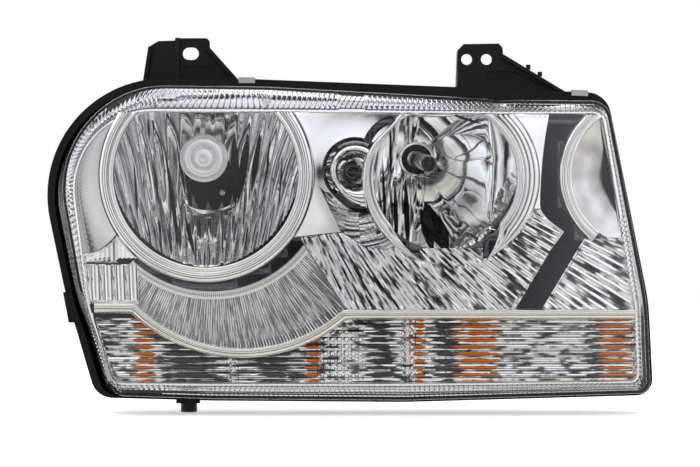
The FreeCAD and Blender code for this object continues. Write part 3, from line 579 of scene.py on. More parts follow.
inner_points.append((0, crown(0, 0) + LENS_WALL, 0))
inner_faces += [(last + (i + 1) % len(window_loop), last + i, len(inner_points) - 1)[::-1]
                for i in range(len(window_loop))]
shift = len(lens_points)
lens_points += inner_points
lens_faces += [tuple(i + shift for i in reversed(face)) for face in inner_faces]
count = len(outer_lens)
lens_faces += [((i + 1) % count, i, shift + i, shift + (i + 1) % count) for i in range(count)]

CLEAR = bpy.data.materials.new("clear polycarbonate")
CLEAR.use_nodes = True
tree = CLEAR.node_tree
shader = tree.nodes["Principled BSDF"]
shader.inputs["Base Color"].default_value = (0.985, 0.99, 0.995, 1)
shader.inputs["Roughness"].default_value = 0.0
shader.inputs["IOR"].default_value = 1.5
shader.inputs["Transmission Weight"].default_value = 1.0
shader.inputs["Coat Weight"].default_value = 0.0
open_air = node(tree, "ShaderNodeBsdfTransparent")
shadow = node(tree, "ShaderNodeLightPath").outputs["Is Shadow Ray"]
joined = node(tree, "ShaderNodeMixShader", [(0, shadow), (1, shader.outputs[0]), (2, open_air.outputs[0])])
tree.links.new(joined.outputs[0], tree.nodes["Material Output"].inputs["Surface"])
piece("clear_lens", lens_points, lens_faces, CLEAR, slot="lens", stands_for=["lens"], sharp=30)

# ==== Bezel plate and window frame ====
# One chrome moulding fills the window. Its base is a flat plate coloured near-black, painted shade for the dark gaps
# round the rings; a bright rounded frame runs round the window, and a sloping skirt lies behind the lens border.
LOW_RING = (-102.9, 46.4)
HIGH_RING = (72.0, 45.0)
HIGH_OPEN = (67.9, 45.0)
INNER_RING = (208.6, 46.4)
PARK_SPOT = (3.6, 50.0)
ARC = (-77.0, 30.0)
ARC_R = 107.0
STRIP_WIDTH = 7.5
window = walk(WINDOW, COARSE)
window_in = walk(WINDOW, COARSE, 1.0)


def above_strip(x, z):
    """Is the place above the divider strip's top edge?"""
    if x < -155:
        return z > -46
    if x < -4:
        return z > -44 or far((x, z), ARC) < ARC_R + 2
    return z > -50.5


def in_base(x, z):
    if not inside(window, x, z) or not above_strip(x, z):
        return False
    if far((x, z), LOW_RING) < 72 or far((x, z), HIGH_OPEN) < 52.5 or far((x, z), PARK_SPOT) < 21:
        return False
    return far((x, z), INNER_RING) > 51


strip_top = ([(-190, -46), (-155, -46)] + circle(ARC, ARC_R + 2, 223, 318, 2) + [(-4, -50.5), (206, -50.5)])
base = sheet([window + window[:1], circle(LOW_RING, 72), circle(HIGH_OPEN, 52.5), circle(PARK_SPOT, 21),
              circle(INNER_RING, 51, 90, 270), strip_top], in_base, lambda x, z: -38.5, grid(-200, 206, -85, 92, 12))
# Near-black copy of the chrome: painted shade in the gaps round the rings.
PAINTED_SHADE_BASE = plated("bezel base painted shade", (0.10, 0.10, 0.11), (0.07, 0.07, 0.08), 0.06, 0.12)
piece("bezel_base", *base, PAINTED_SHADE_BASE, slot="bezel", stands_for=["bezel"], thick=1.5)

frame_rows = []
for inset, y in ((-2.6, -37.0), (-2.6, -41.0), (-2.0, -43.2), (-0.8, -44.6), (0.4, -44.8), (1.3, -43.8),
                 (1.6, -41.5), (1.6, -37.0)):
    frame_rows.append([(x, y, z) for x, z in walk(WINDOW, COARSE, inset)])
piece("window_frame", *loft(frame_rows, True), CHROME, slot="bezel")


def bead_share(x, z):
    """Where the bead row runs between window (0) and lens edge (1): beside the window at the left, out at the top."""
    if z < 0 or x > -130:
        return 0.10 if x < -130 else (0.74 if z > 60 else 0.5)
    return 0.10 + 0.64 * max(0.0, min(1.0, (z - 62) / 44)) ** 1.3


SKIRT_INNER = walk(WINDOW, ROUND, -2.4)
SKIRT_OUTER = walk(FACE, ROUND, 3.6)


def skirt_spot(k, t, lift):
    """A place on the skirt: t from window to lens edge; it falls away backwards as it goes out."""
    x, z = blend2(SKIRT_INNER[k], SKIRT_OUTER[k], t)
    return (x, -43.5 + 6.0 * t + 4 * t * t - lift, z)


def band(shares, lift):
    rows = []
    for t in shares:
        row = []
        for k in range(len(SKIRT_INNER)):
            x, z = SKIRT_INNER[k]
            row.append(skirt_spot(k, *lift(k, t, x, z)))
        rows.append(row)
    return loft(rows, True)


def inner_lift(k, t, x, z):
    turn = k / PER_FLUTE
    share = bead_share(x, z) * t
    if z > 60 and -8 < x < 11:
        return share, 0.0
    if x > 150 and z < 86:
        return share * 2, 0.75 * cusp(turn + 2.2 * t)
    if z < -90:
        return share, 0.6 * cusp(turn * 2 - 2.2 * t)
    return share, 0.85 * cusp(turn + 0.3 * t)


def outer_lift(k, t, x, z):
    turn = k / PER_FLUTE
    start = bead_share(x, z)
    share = start + (1 - start) * t
    if z < -90 and x > -150:
        return share, 0.6 * cusp(turn * 2 + 2.2 * t)
    if x > 150 and z < 86:
        return 1.0, 0.2 + 0.4 * t
    return share, 0.75 * cusp(turn)


def shade_valleys(made, finish, every, first, count):
    """Give the faces in the valleys between flutes a second, darker finish: painted shade."""
    made.data.materials.append(finish)
    for face in made.data.polygons:
        k = min(face.vertices) % count
        row = min(face.vertices) // count
        if (k + first + row // 3) % every == 0:
            face.material_index = 1


# Near-black copy of the chrome: painted shade for the valleys between flutes and for dark gaps.
PAINTED_VALLEY_SHADE = plated("painted valley shade", (0.05, 0.05, 0.055), (0.04, 0.04, 0.045), 0.1, 0.2)
SHARES = [i / 8 for i in range(9)]
points, faces = band(SHARES, inner_lift)
# Darker copy of the chrome for the border flutes: painted shade.
SHADED_BORDER_CHROME = plated("shaded border chrome", (0.60, 0.61, 0.64), (0.52, 0.52, 0.53), 0.05, 0.12)
made = piece("border_flutes", points, [f[::-1] for f in faces], SHADED_BORDER_CHROME, slot="bezel", thick=0.8, sharp=30)
shade_valleys(made, PAINTED_VALLEY_SHADE, PER_FLUTE, 0, len(SKIRT_INNER))


def is_side(point):
    return point[0] < -135 and -108 < point[2]


points, faces = band(SHARES, outer_lift)
made = piece("border_edge", points, [f[::-1] for f in faces if not is_side(points[f[0]])], CHROME, slot="bezel",
             thick=0.8, sharp=30)
shade_valleys(made, PAINTED_VALLEY_SHADE, PER_FLUTE, 2, len(SKIRT_INNER))
# Darker, hazier copy of the chrome for the side skirt and the crescent lip's valleys: its darker colour is painted
# shade.
SHADED_CHROME = plated("shaded chrome", (0.80, 0.80, 0.83), (0.66, 0.66, 0.68), 0.3, 0.42)
SIDE_OUTER = walk(LENS, ROUND, 5.0)
side = [k for k, (x, z) in enumerate(SKIRT_INNER) if x < -95 and z > -100]
start = next(k for k in side if (k - 1) % len(SKIRT_INNER) not in side)
side = [(start + k) % len(SKIRT_INNER) for k in range(len(side))]
side_rows = []
for t in SHARES:
    row = []
    for place, k in enumerate(side):
        x, z = SKIRT_INNER[k]
        share = bead_share(x, z)
        sx, sy, sz = skirt_spot(k, share, 0.0)
        reach = min(1.0, place / 60, (len(side) - 1 - place) / 60, max(0.0, (-172 - x) / 16) if z > 0 else 1.0)
        ex, ez = blend2(SKIRT_OUTER[k], SIDE_OUTER[k], reach)
        px, pz = blend2((sx, sz), (ex, ez), t)
        depth = sy + (-16.0 * reach - 33.5 * (1 - reach) - sy) * t ** 1.3
        row.append((px, depth - 0.8 * cusp(k / PER_FLUTE), pz))
    side_rows.append(row)
points, faces = loft(side_rows)
made = piece("border_side", points, [f[::-1] for f in faces], SHADED_CHROME, slot="bezel", sharp=30)
# Every fourth valley of the side skirt gets the painted shade.
made.data.materials.append(PAINTED_VALLEY_SHADE)
for face in made.data.polygons:
    if min(i % len(side) for i in face.vertices) % PER_FLUTE == 0:
        face.material_index = 1

bead_rows = []
for step in range(9):
    turn = math.radians(180 * step / 8)
    row = []
    for k in range(len(SKIRT_INNER)):
        x, z = SKIRT_INNER[k]
        if -8 < x < 11 and z > 60:
            size = 0.3
        else:
            size = 0.6 + 1.5 * cusp(k / PER_FLUTE + 0.5) ** 0.8
        bx, by, bz = skirt_spot(k, bead_share(x, z), 0.2)
        out = Vector((SKIRT_OUTER[k][0] - x, SKIRT_OUTER[k][1] - z)).normalized()
        row.append((bx + out.x * size * math.cos(turn), by - size * math.sin(turn), bz + out.y * size * math.cos(turn)))
    bead_rows.append(row)
points, faces = loft(bead_rows, True)
faces = [f for f in faces if points[f[0]][0] < 186 and (points[f[0]][2] > 60 or points[f[0]][0] < -130)]
made = piece("border_beads", points, faces, CHROME, slot="bezel", sharp=40)
# The narrow places between the beads get the painted shade.
made.data.materials.append(PAINTED_VALLEY_SHADE)
for face in made.data.polygons:
    if min(i % len(SKIRT_INNER) for i in face.vertices) % PER_FLUTE == 2:
        face.material_index = 1

# ==== Bezel: the two large rings and the inner one ====
# Raised double-rimmed rings round the lamps: a narrow bead inside, a groove, then a broad rounded band.
# The high-beam ring is wider on its right and stops in two points where the fluted panel runs up.
RIM = [(0.0, 6.0), (0.02, 1.6), (0.08, 0.3), (0.15, 0.0), (0.22, 0.6), (0.27, 1.5), (0.33, 1.3), (0.42, 0.35),
       (0.55, 0.0), (0.7, 0.35), (0.84, 1.5), (0.94, 3.2), (1.0, 5.0), (1.0, 9.0)]


def clip_top(points, faces, top):
    return points, [f for f in faces if max(points[i][2] for i in f) < top]


def low_ring_row(share, back):
    radius = 65.6 + 11.6 * share
    return [(x, -48.0 + back, min(z, 92.0)) for x, z in circle(LOW_RING, radius, 0, 360, 0.75)[:-1]]


ring_points, ring_faces = loft([low_ring_row(*r) for r in RIM], True)
ring_points, ring_faces = clip_top(ring_points, ring_faces, 91.95)
piece("low_ring", ring_points, ring_faces, CHROME, slot="bezel", sharp=50)

# Two thin near-black sheets at the inner edge of the low-beam ring's lower half: painted shade for the gap between ring
# and bowl.
for side, (start, end) in enumerate(((188, 262), (278, 352))):
    gap_shade_rows = []
    for across in (0.0, 1.0):
        row = []
        for k in range(61):
            share = k / 60
            reach = 65.9 - across * (0.3 + 2.6 * math.sin(math.pi * share) ** 0.8 * (0.8 + 0.2 * math.sin(k * 1.9)))
            a = math.radians(start + (end - start) * share)
            row.append((LOW_RING[0] + reach * math.cos(a), -44.0, LOW_RING[1] + reach * math.sin(a)))
        gap_shade_rows.append(row)
    piece(f"low_gap_painted_shade_{side}", *loft(gap_shade_rows), PAINTED_VALLEY_SHADE, slot="bezel")

high_rows = []
TIP_LEFT, TIP_RIGHT = -109.5, -67.0
for share, back in RIM:
    row = []
    for k in range(401):
        angle = TIP_RIGHT + (360 + TIP_LEFT - TIP_RIGHT) * k / 400
        turn = math.radians(angle)
        from_left = 360 + TIP_LEFT - angle
        from_right = angle - TIP_RIGHT
        inner = circle(HIGH_OPEN, 51.2, angle, angle + 1, 1)[0]
        bite = 7.0 * math.exp(-((angle - 138) / 20) ** 2)
        outer = circle(HIGH_RING, 64.0 - bite, angle, angle + 1, 1)[0]
        taper = min(1.0, from_right / 26, 1.0 if from_left > 30 else 0.1 + 0.9 * from_left / 30)
        x, z = blend2(outer, inner, (1 - share) * max(taper, 0.02))
        row.append((x, -48.5 + back, min(z, 90.4)))
    high_rows.append(row)
ring_points, ring_faces = clip_top(*loft(high_rows), 90.3)
piece("high_ring", ring_points, ring_faces, CHROME, slot="bezel", sharp=50)

inner_rows = []
for share, back in RIM:
    inner_rows.append([(x, -45.5 + back, z) for x, z in circle(INNER_RING, 50 + 10 * share, 108, 233, 1)])
ring_points, ring_faces = clip_top(*loft(inner_rows), 90.4)
ring_faces = [f for f in ring_faces if all(inside(window, ring_points[i][0], ring_points[i][2]) for i in f)]
piece("inner_ring", ring_points, ring_faces, CHROME, slot="bezel", sharp=50)

# ==== Bezel: smooth panels ====
# Plain curved skins between the rings and the window frame. Each leans away from its ring, so it mirrors
# the soft walls and not the dark in front of the lamp.


def left_lip(x):
    return -9.0 + 14.0 * max(0.0, min(1.0, (x + 188) / 22)) ** 2


def in_left(x, z):
    return (inside(window_in, x, z) and far((x, z), LOW_RING) > 76.6 and x < -100 and z > left_lip(x))


def left_depth(x, z):
    s = far((x, z), LOW_RING) - 77
    low = max(0.0, 22 - (z - left_lip(x)))
    return -45.5 + 0.17 * s + 0.0035 * s * s - 0.0012 * low * low * (1 if low > 4 else 0.9)


def round_lattice(centre, start, stop, a0, a1):
    """Points on rings round a lamp, so that the skin beside it bends evenly."""
    return [point for step in range(int((stop - start) / 2.5))
            for point in circle(centre, start + 1.2 + 2.5 * step, a0, a1, 2.0)]


left_curve = [(x, left_lip(x)) for x in [-192 + i for i in range(0, 66)]]
# Darker copy of the chrome for the left panel and the inner reflector: painted shade.
SHADED_PANEL_CHROME = plated("shaded panel chrome", (0.58, 0.585, 0.59), (0.56, 0.55, 0.53), 0.03, 0.08)
made = piece("left_panel", *sheet([window_in + window_in[:1], circle(LOW_RING, 76.6), left_curve], in_left, left_depth,
                           round_lattice(LOW_RING, 77, 112, 95, 235)), SHADED_PANEL_CHROME, slot="bezel")
smooth_skin(made, left_depth)

BAND_TOP = -9.0
BAND_FOOT = -17.5


def in_left_band(x, z):
    return (-190 < x < -148 and inside(window_in, x, z) and far((x, z), LOW_RING) > 76.6
            and BAND_FOOT < z < left_lip(x) - 0.6)


left_low = [(x, left_lip(x) - 0.6) for x in [-192 + i for i in range(0, 60)]]
piece("left_band", *sheet([window_in + window_in[:1], circle(LOW_RING, 76.6), left_low,
                           [(-192, BAND_FOOT), (-140, BAND_FOOT)], [(-148, -20), (-148, 10)]], in_left_band,
                          lambda x, z: -43.0 + 0.24 * (left_lip(x) - z) + 0.25 * cusp(x / 3.2),
                          grid(-190, -148, -18, 6, 0.8, 3)), CHROME, slot="bezel", thick=SHEET)


def in_flute_block(x, z):
    return -190 < x < -151 and inside(window_in, x, z) and -45.5 < z < BAND_FOOT - 0.4


piece("left_flutes", *sheet([window_in + window_in[:1], [(-190, -45.5), (-151, -45.5), (-151, -17.9), (-190, -17.9)]],
                            in_flute_block,
                            lambda x, z: -41.5 - 1.7 * cusp((x + 187) / 9.0 + 0.004 * (z + 18)) - 0.05 * (z + 45),
                            [(-189.5 + 0.75 * i, -45.5 + 2.5 * j) for i in range(52) for j in range(12)]),
      CHROME, slot="bezel", thick=SHEET, sharp=30)


def groove(x, z):
    """The dark groove that curves up from the park lamp to the window's top edge."""
    reach = far((x, z), (36, 62))
    return 22 < reach < 28 and z > 67 and x < 31


def ring_gap(x, z):
    angle = math.atan2(z - PARK_SPOT[1], x - PARK_SPOT[0])
    swell = 9 * max(0.0, math.cos(angle + math.radians(62))) ** 3
    return far((x, z), PARK_SPOT) - swell


def middle_foot(x):
    return 2.6 + 0.11 * (x + 36)


def in_middle(x, z):
    if z < middle_foot(x) or not inside(window_in, x, z) or x > 50 or x < -90:
        return False
    if far((x, z), LOW_RING) < 76.6 or far((x, z), HIGH_RING) < 56:
        return False
    if x > -18 + 0.48 * (30 - z) and z < 34:
        return False
    return ring_gap(x, z) > 23.6 and not groove(x, z)


def in_park_ribs(x, z):
    if far((x, z), HIGH_RING) < 63.4 or ring_gap(x, z) < 23.8 or z > 34 or x > 45:
        return False
    return x > -17.4 + 0.48 * (30 - z) and z > 5.9 - 0.62 * (x + 6)


def middle_depth(x, z):
    near = far((x, z), LOW_RING) - 77
    park = max(0.0, 40 - ring_gap(x, z))
    return -40.4 - 5.2 * math.exp(-max(near, 0.0) / 24.0) - 0.006 * park * park


gap_curve = []
for k in range(181):
    a = math.radians(2 * k)
    swell = 9 * max(0.0, math.cos(a + math.radians(62))) ** 3
    gap_curve.append((PARK_SPOT[0] + (23.6 + swell) * math.cos(a), PARK_SPOT[1] + (23.6 + swell) * math.sin(a)))
made = piece("middle_panel", *sheet([window_in + window_in[:1], circle(LOW_RING, 76.6), circle(HIGH_RING, 56), gap_curve,
                              circle((36, 62), 22, 90, 190), circle((36, 62), 28, 90, 190), [(-38, 2.4), (-4, 6.1)],
                              [(-22, 38.3), (-4, 0.8)]],
                             in_middle, middle_depth, round_lattice(LOW_RING, 77, 160, -50, 60)), CHROME, slot="bezel")
smooth_skin(made, middle_depth)


# The park ribs carry painted dark reflections in streaks that fan out from the park lamp.
piece("park_ribs", *sheet([circle(HIGH_RING, 63.4), gap_curve, [(-21, 36.3), (-4, 2)], [(-8, 7.1), (40, -22.6)]],
                          in_park_ribs, lambda x, z: -41.0 - 0.6 * cusp(ring_gap(x, z) / 2.7 + 0.02 * x),
                          grid(-20, 45, -25, 34, 0.6)),
      fan_painted_reflections("park rib chrome", PARK_SPOT, 5.0, 0.35, 0.45, [(0.4, 0.05), (0.5, 0.6), (0.58, 1.0)]), slot="bezel", thick=SHEET, sharp=28)


def panel_edge(z):
    """The right edge of the slim panel beside the high-beam ring."""
    if z > 25:
        return 135.7 + 0.0016 * (z - 25) ** 2
    return 135.7 + 17.3 * (1 - math.sin(math.pi / 2 * max(0.0, z - 6) / 19))


def in_right(x, z):
    return inside(window_in, x, z) and far((x, z), HIGH_RING) > 63.6 and 72 < x < panel_edge(z) and z > 22.4


right_edge = [(panel_edge(z), z) for z in [20 + 2 * i for i in range(38)]]
def right_depth(x, z):
    return -45 + 0.22 * (far((x, z), HIGH_RING) - 64)


made = piece("right_panel", *sheet([window_in + window_in[:1], circle(HIGH_RING, 63.6), right_edge, [(90, 22.4), (150, 22.4)]],
                            in_right, right_depth,
                            round_lattice(HIGH_RING, 64, 110, -25, 60)), CHROME, slot="bezel")
smooth_skin(made, right_depth)

# ==== Bezel: fluted panels ====
# Below the low-beam ring fine flutes run out from the ring to the divider; a pale lip edges them. The
# panel below the high-beam ring has flutes that fan out towards the lower right corner.
LIP = (-99.0, 45.4)
LIP_R = 81.5


def slant_x(z):
    """The slanted edge between the crescent's fine flutes and the fan."""
    (x0, z0), (x1, z1) = SLANT
    return x0 + (x1 - x0) * (z - z0) / (z1 - z0)


def arc_reach(angle):
    """Distance from the lip's centre to the divider strip's arc, along an angle."""
    dx, dz = math.cos(angle), math.sin(angle)
    ox, oz = LIP[0] - ARC[0], LIP[1] - ARC[1]
    b = ox * dx + oz * dz
    return -b + math.sqrt(b * b - (ox * ox + oz * oz - (ARC_R + 1) ** 2))


SLANT = ((-36.0, 2.0), (-4.5, -47.0))
FIRST, LAST = -133.0, -27.0
FINE = 112
samples = FINE * 5
lip_rows = []
for reach, y in ((LIP_R, -38.5), (LIP_R, -41.0), (LIP_R + 0.8, -42.8), (LIP_R + 2.6, -43.4), (LIP_R + 5.4, -42.6),
                 (LIP_R + 6.4, -41.6)):
    row = []
    for k in range(samples + 1):
        a = math.radians(FIRST + (LAST - FIRST) * k / samples)
        row.append((LIP[0] + reach * math.cos(a), y - 0.25 * cusp(k / 5), LIP[1] + reach * math.sin(a)))
    lip_rows.append(row)
points, faces = loft(lip_rows)
faces = [f for f in faces if points[f[0]][0] < slant_x(points[f[0]][2]) - 0.6]
made = piece("crescent_lip", points, faces, CHROME, slot="crescent_trim", sharp=30)
shade_valleys(made, SHADED_CHROME, 5, 0, samples + 1)
fine_rows = []
for step in range(15):
    row = []
    for k in range(samples + 1):
        a = math.radians(FIRST + (LAST - FIRST) * k / samples)
        reach = LIP_R + 6.4 + (arc_reach(a) - LIP_R - 6.4) * step / 14
        drop = step / 14
        row.append((LIP[0] + reach * math.cos(a),
                    -41.6 + 1.8 * math.sin(math.pi * drop * 0.55) - 0.34 * cusp(k / 5)
                    + 0.05 * math.sin(k * 1.7 + step * 1.9), LIP[1] + reach * math.sin(a)))
    fine_rows.append(row)
points, faces = loft(fine_rows)
faces = [f for f in faces if points[f[0]][0] < slant_x(points[f[0]][2]) - 0.6]
# The crescent's fine flutes carry painted dark reflections in streaks, and painted shade in their valleys.
FINE_FLUTE_PAINTED_REFLECTIONS = fan_painted_reflections("fine fluted chrome", LIP, (LAST - FIRST) / FINE, 2.0, 0.05,
                          [(0.3, 0.2), (0.45, 0.6), (0.55, 1.0)])
made = piece("crescent_flutes", points, faces, FINE_FLUTE_PAINTED_REFLECTIONS, slot="crescent_trim", stands_for=["crescent_trim"],
             sharp=30)
shade_valleys(made, PAINTED_VALLEY_SHADE, 5, 0, samples + 1)

FAN = (-84.0, 128.0)
FAN_PITCH = 0.86
rng = random.Random(7)
wobble = [(rng.uniform(0, 6.28), rng.uniform(0.7, 1.4), rng.uniform(-0.35, 0.35)) for _ in range(80)]


def channel_left(z):
    """Left edge of the plain dark channel that winds down between the high-beam and inner rings."""
    if z < -7:
        return 143.6 + 0.6 * (z + 7)
    if z < 6:
        return 143.6 + 9.4 * (z + 7) / 13
    if z < 25:
        return 153.0 - 17.3 * math.sin(math.pi / 2 * (z - 6) / 19)
    return 135.7 + 0.0016 * (z - 25) ** 2


def channel_right(z):
    return 165.0 + 0.6 * (z + 3)


def fan_top(x):
    if x < -6:
        return 2.0 + 0.11 * (x + 36)
    return max(5.3 - 0.62 * (x + 6), -6.0) if x < 60 else -6.0


def in_fan(x, z):
    if z < -50 or x < slant_x(z) + 0.6 or not inside(window_in, x, z):
        return False
    if far((x, z), HIGH_RING) < 63.4 and not (50 < x < 95 and z < -6):
        return False
    if far((x, z), LOW_RING) < 79:
        return False
    if x > channel_left(z):
        return x > channel_right(z) and z < 1.0 + 0.02 * (x - 165)
    if x > 96:
        return z < 22
    return z < fan_top(x)


def fan_depth(x, z):
    angle = math.degrees(math.atan2(z - FAN[1], x - FAN[0]))
    turn = angle / FAN_PITCH
    reach = far((x, z), FAN)
    phase, pace, lean = wobble[int(math.floor(turn)) % 80]
    broken = 0.12 * math.sin(reach * 0.30 * pace + phase) + lean * 0.6 * math.sin(reach * 0.11 + phase)
    return -41.0 - 0.55 * cusp(turn) + broken - 0.02 * (z + 50)


fan_lattice = []
for step in range(int(60 / FAN_PITCH) * 6):
    a = math.radians(-78 + step * FAN_PITCH / 6)
    fan_lattice += [(FAN[0] + r * math.cos(a), FAN[1] + r * math.sin(a)) for r in range(100, 345, 4)]
left_side = [(channel_left(z), z) for z in range(-52, 26, 2)]
right_side = [(channel_right(z), z) for z in range(-52, 6, 2)]
top_side = [(x, fan_top(x)) for x in range(-38, 62, 2)]
# The fan flutes carry painted dark reflections in streaks along them.
piece("fan_flutes", *sheet([window_in + window_in[:1], circle(HIGH_RING, 63.4), circle(LOW_RING, 79), left_side,
                            right_side, [(slant_x(4) + 0.6, 4), (slant_x(-52) + 0.6, -52)], [(-6, -50), (206, -50)],
                            [(50, -6), (50, -20)], [(95, -6), (95, -20)], [(50, -6), (95, -6)], top_side,
                            [(163, 1.0), (206, 1.8)], [(96, 22), (140, 22)]],
                           in_fan, fan_depth, fan_lattice),
      fan_painted_reflections("fanned chrome", FAN, FAN_PITCH, 2.0, 0.045, [(0.38, 0.02), (0.43, 0.15), (0.47, 0.7), (0.51, 1.0)]), slot="bezel", thick=0.8, sharp=26)
bar = []
for across, y in ((0.0, -40.0), (0.0, -42.4), (0.8, -43.4), (1.8, -43.4), (2.6, -42.4), (2.6, -40.0)):
    bar.append([(slant_x(z) - 1.3 + across, y, z) for z in (2, -15, -30, -47.5)])
points, faces = loft(bar)
piece("slanted_rib", points, [f[::-1] for f in faces], CHROME, slot="bezel", sharp=50)

# ==== Divider strip ====
# Plain bar of champagne chrome clipped over the bezel's lower edge. It follows the round of the low-beam
# lamp and then runs straight across; rounded front, lightly hazed lacquer.


def strip_edge(radius, left_z, right_z):
    left = ARC[0] - math.sqrt(radius ** 2 - (left_z - ARC[1]) ** 2)
    right = ARC[0] + math.sqrt(radius ** 2 - (right_z - ARC[1]) ** 2)
    a0 = math.atan2(left_z - ARC[1], left - ARC[0])
    a1 = math.atan2(right_z - ARC[1], right - ARC[0])
    line = [(-182.5 + (left + 182.5) * i / 12, left_z) for i in range(12)]
    line += [(ARC[0] + radius * math.cos(a0 + (a1 - a0) * i / 90), ARC[1] + radius * math.sin(a0 + (a1 - a0) * i / 90))
             for i in range(91)]
    return line + [(right + (203.5 - right) * i / 40, right_z) for i in range(1, 41)]


upper = strip_edge(ARC_R, -45.0, -49.5)
lower = strip_edge(ARC_R + STRIP_WIDTH, -52.5, -57.0)
STRIP_SECTION = [(0.0, -39.0), (0.0, -43.6), (0.06, -45.4), (0.18, -46.4), (0.38, -46.6), (0.6, -46.0), (0.8, -44.8),
                 (0.94, -43.2), (1.0, -41.6), (1.0, -39.0)]
strip_rows = [[(*blend2(a, b, t)[:1], y, blend2(a, b, t)[1]) for a, b in zip(upper, lower)] for t, y in STRIP_SECTION]
strip_points, strip_faces = loft(strip_rows)
piece("divider_bar", strip_points, [f[::-1] for f in strip_faces], CHAMPAGNE, slot="divider_strip",
      stands_for=["divider_strip"], sharp=50)

# ==== Tilting reflectors ====
# Two moulded bowls on one carrier. Their mirrors are cut into upright facets that spread the beam; near
# the bulb they are smooth. The fluted skins lie on the solids' own bowls and tilt with them.
DEEP = 27.0
RIM_DEPTH = -29.3


def painted_dark_wedges(tree, x_mm, z_mm, shapes):
    """Mask of slim lens shapes where dark reflections are painted: foot x and z, tip x and z, greatest half width."""
    mask = 0.0
    for foot_x, foot_z, tip_x, tip_z, half in shapes:
        share = maths(tree, "DIVIDE", maths(tree, "SUBTRACT", z_mm, foot_z), tip_z - foot_z)
        line = maths(tree, "MULTIPLY_ADD", share, tip_x - foot_x, foot_x)
        bulge = maths(tree, "MULTIPLY", maths(tree, "MULTIPLY", share, maths(tree, "SUBTRACT", 1.0, share)), 4 * half)
        lens = maths(tree, "SUBTRACT", bulge, maths(tree, "ABSOLUTE", maths(tree, "SUBTRACT", x_mm, line)))
        edge = node(tree, "ShaderNodeMapRange", [("Value", lens), ("From Min", 0.0), ("From Max", 0.35)]).outputs[0]
        mask = maths(tree, "MAXIMUM", edge, mask)
    return mask


def bowl_painted_reflections(name, axis, pitch, fine, stretch, stops, right, dark):
    """Mirror with painted dark reflections: upright streaks that follow its facets, fading out to the right of a given
    x, and near-black lens shapes.
    """
    made = plated(name, (0.95, 0.955, 0.96), (0.93, 0.93, 0.92), 0.015, 0.04, 0.12)
    tree = made.node_tree
    x_mm, z_mm = place_mm(tree)
    spread = maths(tree, "MULTIPLY_ADD", maths(tree, "SUBTRACT", z_mm, axis[1]), SPREAD, 1.0)
    across = maths(tree, "DIVIDE", maths(tree, "SUBTRACT", x_mm, axis[0]), spread)
    plain = tree.nodes["Principled BSDF"].inputs["Base Color"].links[0].from_socket
    streaks(made, maths(tree, "MULTIPLY", across, fine / pitch), maths(tree, "MULTIPLY", z_mm, stretch), stops, 0.4)
    shader = tree.nodes["Principled BSDF"]
    fade = node(tree, "ShaderNodeMapRange", [("Value", x_mm), ("From Min", right - 4), ("From Max", right + 4)])
    mixed = node(tree, "ShaderNodeMix", [(0, fade.outputs[0]), (6, shader.inputs["Base Color"].links[0].from_socket),
                                         (7, plain)], data_type="RGBA")
    mixed = node(tree, "ShaderNodeMix", [(0, painted_dark_wedges(tree, x_mm, z_mm, dark)), (6, mixed.outputs[2]),
                                         (7, (0.012, 0.012, 0.013, 1))], data_type="RGBA")
    tree.links.new(mixed.outputs[2], shader.inputs["Base Color"])
    return made


def bowl_skin(name, centre, radius, axis, focus, roof, relief, lattice, bore, finish):
    def keep(x, z):
        return far((x, z), centre) < radius and z < roof and far((x, z), axis) > bore

    def depth(x, z):
        return max(DEEP - far((x, z), axis) ** 2 / (4 * focus) - 0.9 - relief(x, z), RIM_DEPTH)

    curves = [circle(centre, radius - 0.05), [(centre[0] - radius, roof), (centre[0] + radius, roof)],
              circle(axis, bore, 0, 360, 6)]
    points, faces = sheet(curves, keep, depth, lattice)
    made = piece(name, points, faces, finish, body="reflectors", slot=name.replace("_mirror", "_reflector"),
                 sharp=24, thick=0.6)
    rim = circle(centre, radius - 0.1, 0, 360, 1.5)[:-1]
    rim = [(x, min(z, roof - 0.1)) for x, z in rim]
    back = [(x, max(DEEP - far((x, z), axis) ** 2 / (4 * focus), RIM_DEPTH + 0.4), z) for x, z in rim]
    front = [(x, RIM_DEPTH, z) for x, z in rim]
    middle = [(x, (a[1] + b[1]) / 2, z) for (x, z), a, b in zip(rim, back, front)]
    piece(name.replace("mirror", "wall"), *loft([back, middle, front], True), MIRROR, body="reflectors",
          slot=name.replace("_mirror", "_reflector"), thick=0.0)
    return made


MIRROR = plated("reflector mirror", (0.95, 0.955, 0.96), (0.93, 0.93, 0.92), 0.015, 0.04, 0.12)
PITCH = 9.4
SPREAD = 0.0045


def low_u(x, z):
    return (x + 104) / (1 + SPREAD * (z - 57))


def in_low_patch(x, z):
    """The smooth pad below the bulb that carries a small screw."""
    return ((x + 102) / 19) ** 2 + ((z - 31) / 15) ** 2 < 1


def low_relief(x, z):
    u = low_u(x, z) / PITCH
    if in_low_patch(x, z):
        return 11.2 - (far((x, z), LOW_AXIS) ** 2) / 104.0 + 0.02 * (z - 26)
    return 0.7 * cusp(u + 0.10 * math.sin(z * 0.045)) + 0.03 * math.sin(z * 0.21 + math.floor(u) * 1.3)


low_lattice = []
for i in range(-78, 79):
    for j in range(62):
        z = -26 + 2.0 * j
        low_lattice.append((-104 + i * (PITCH / 8) * (1 + SPREAD * (z - 57)), z))
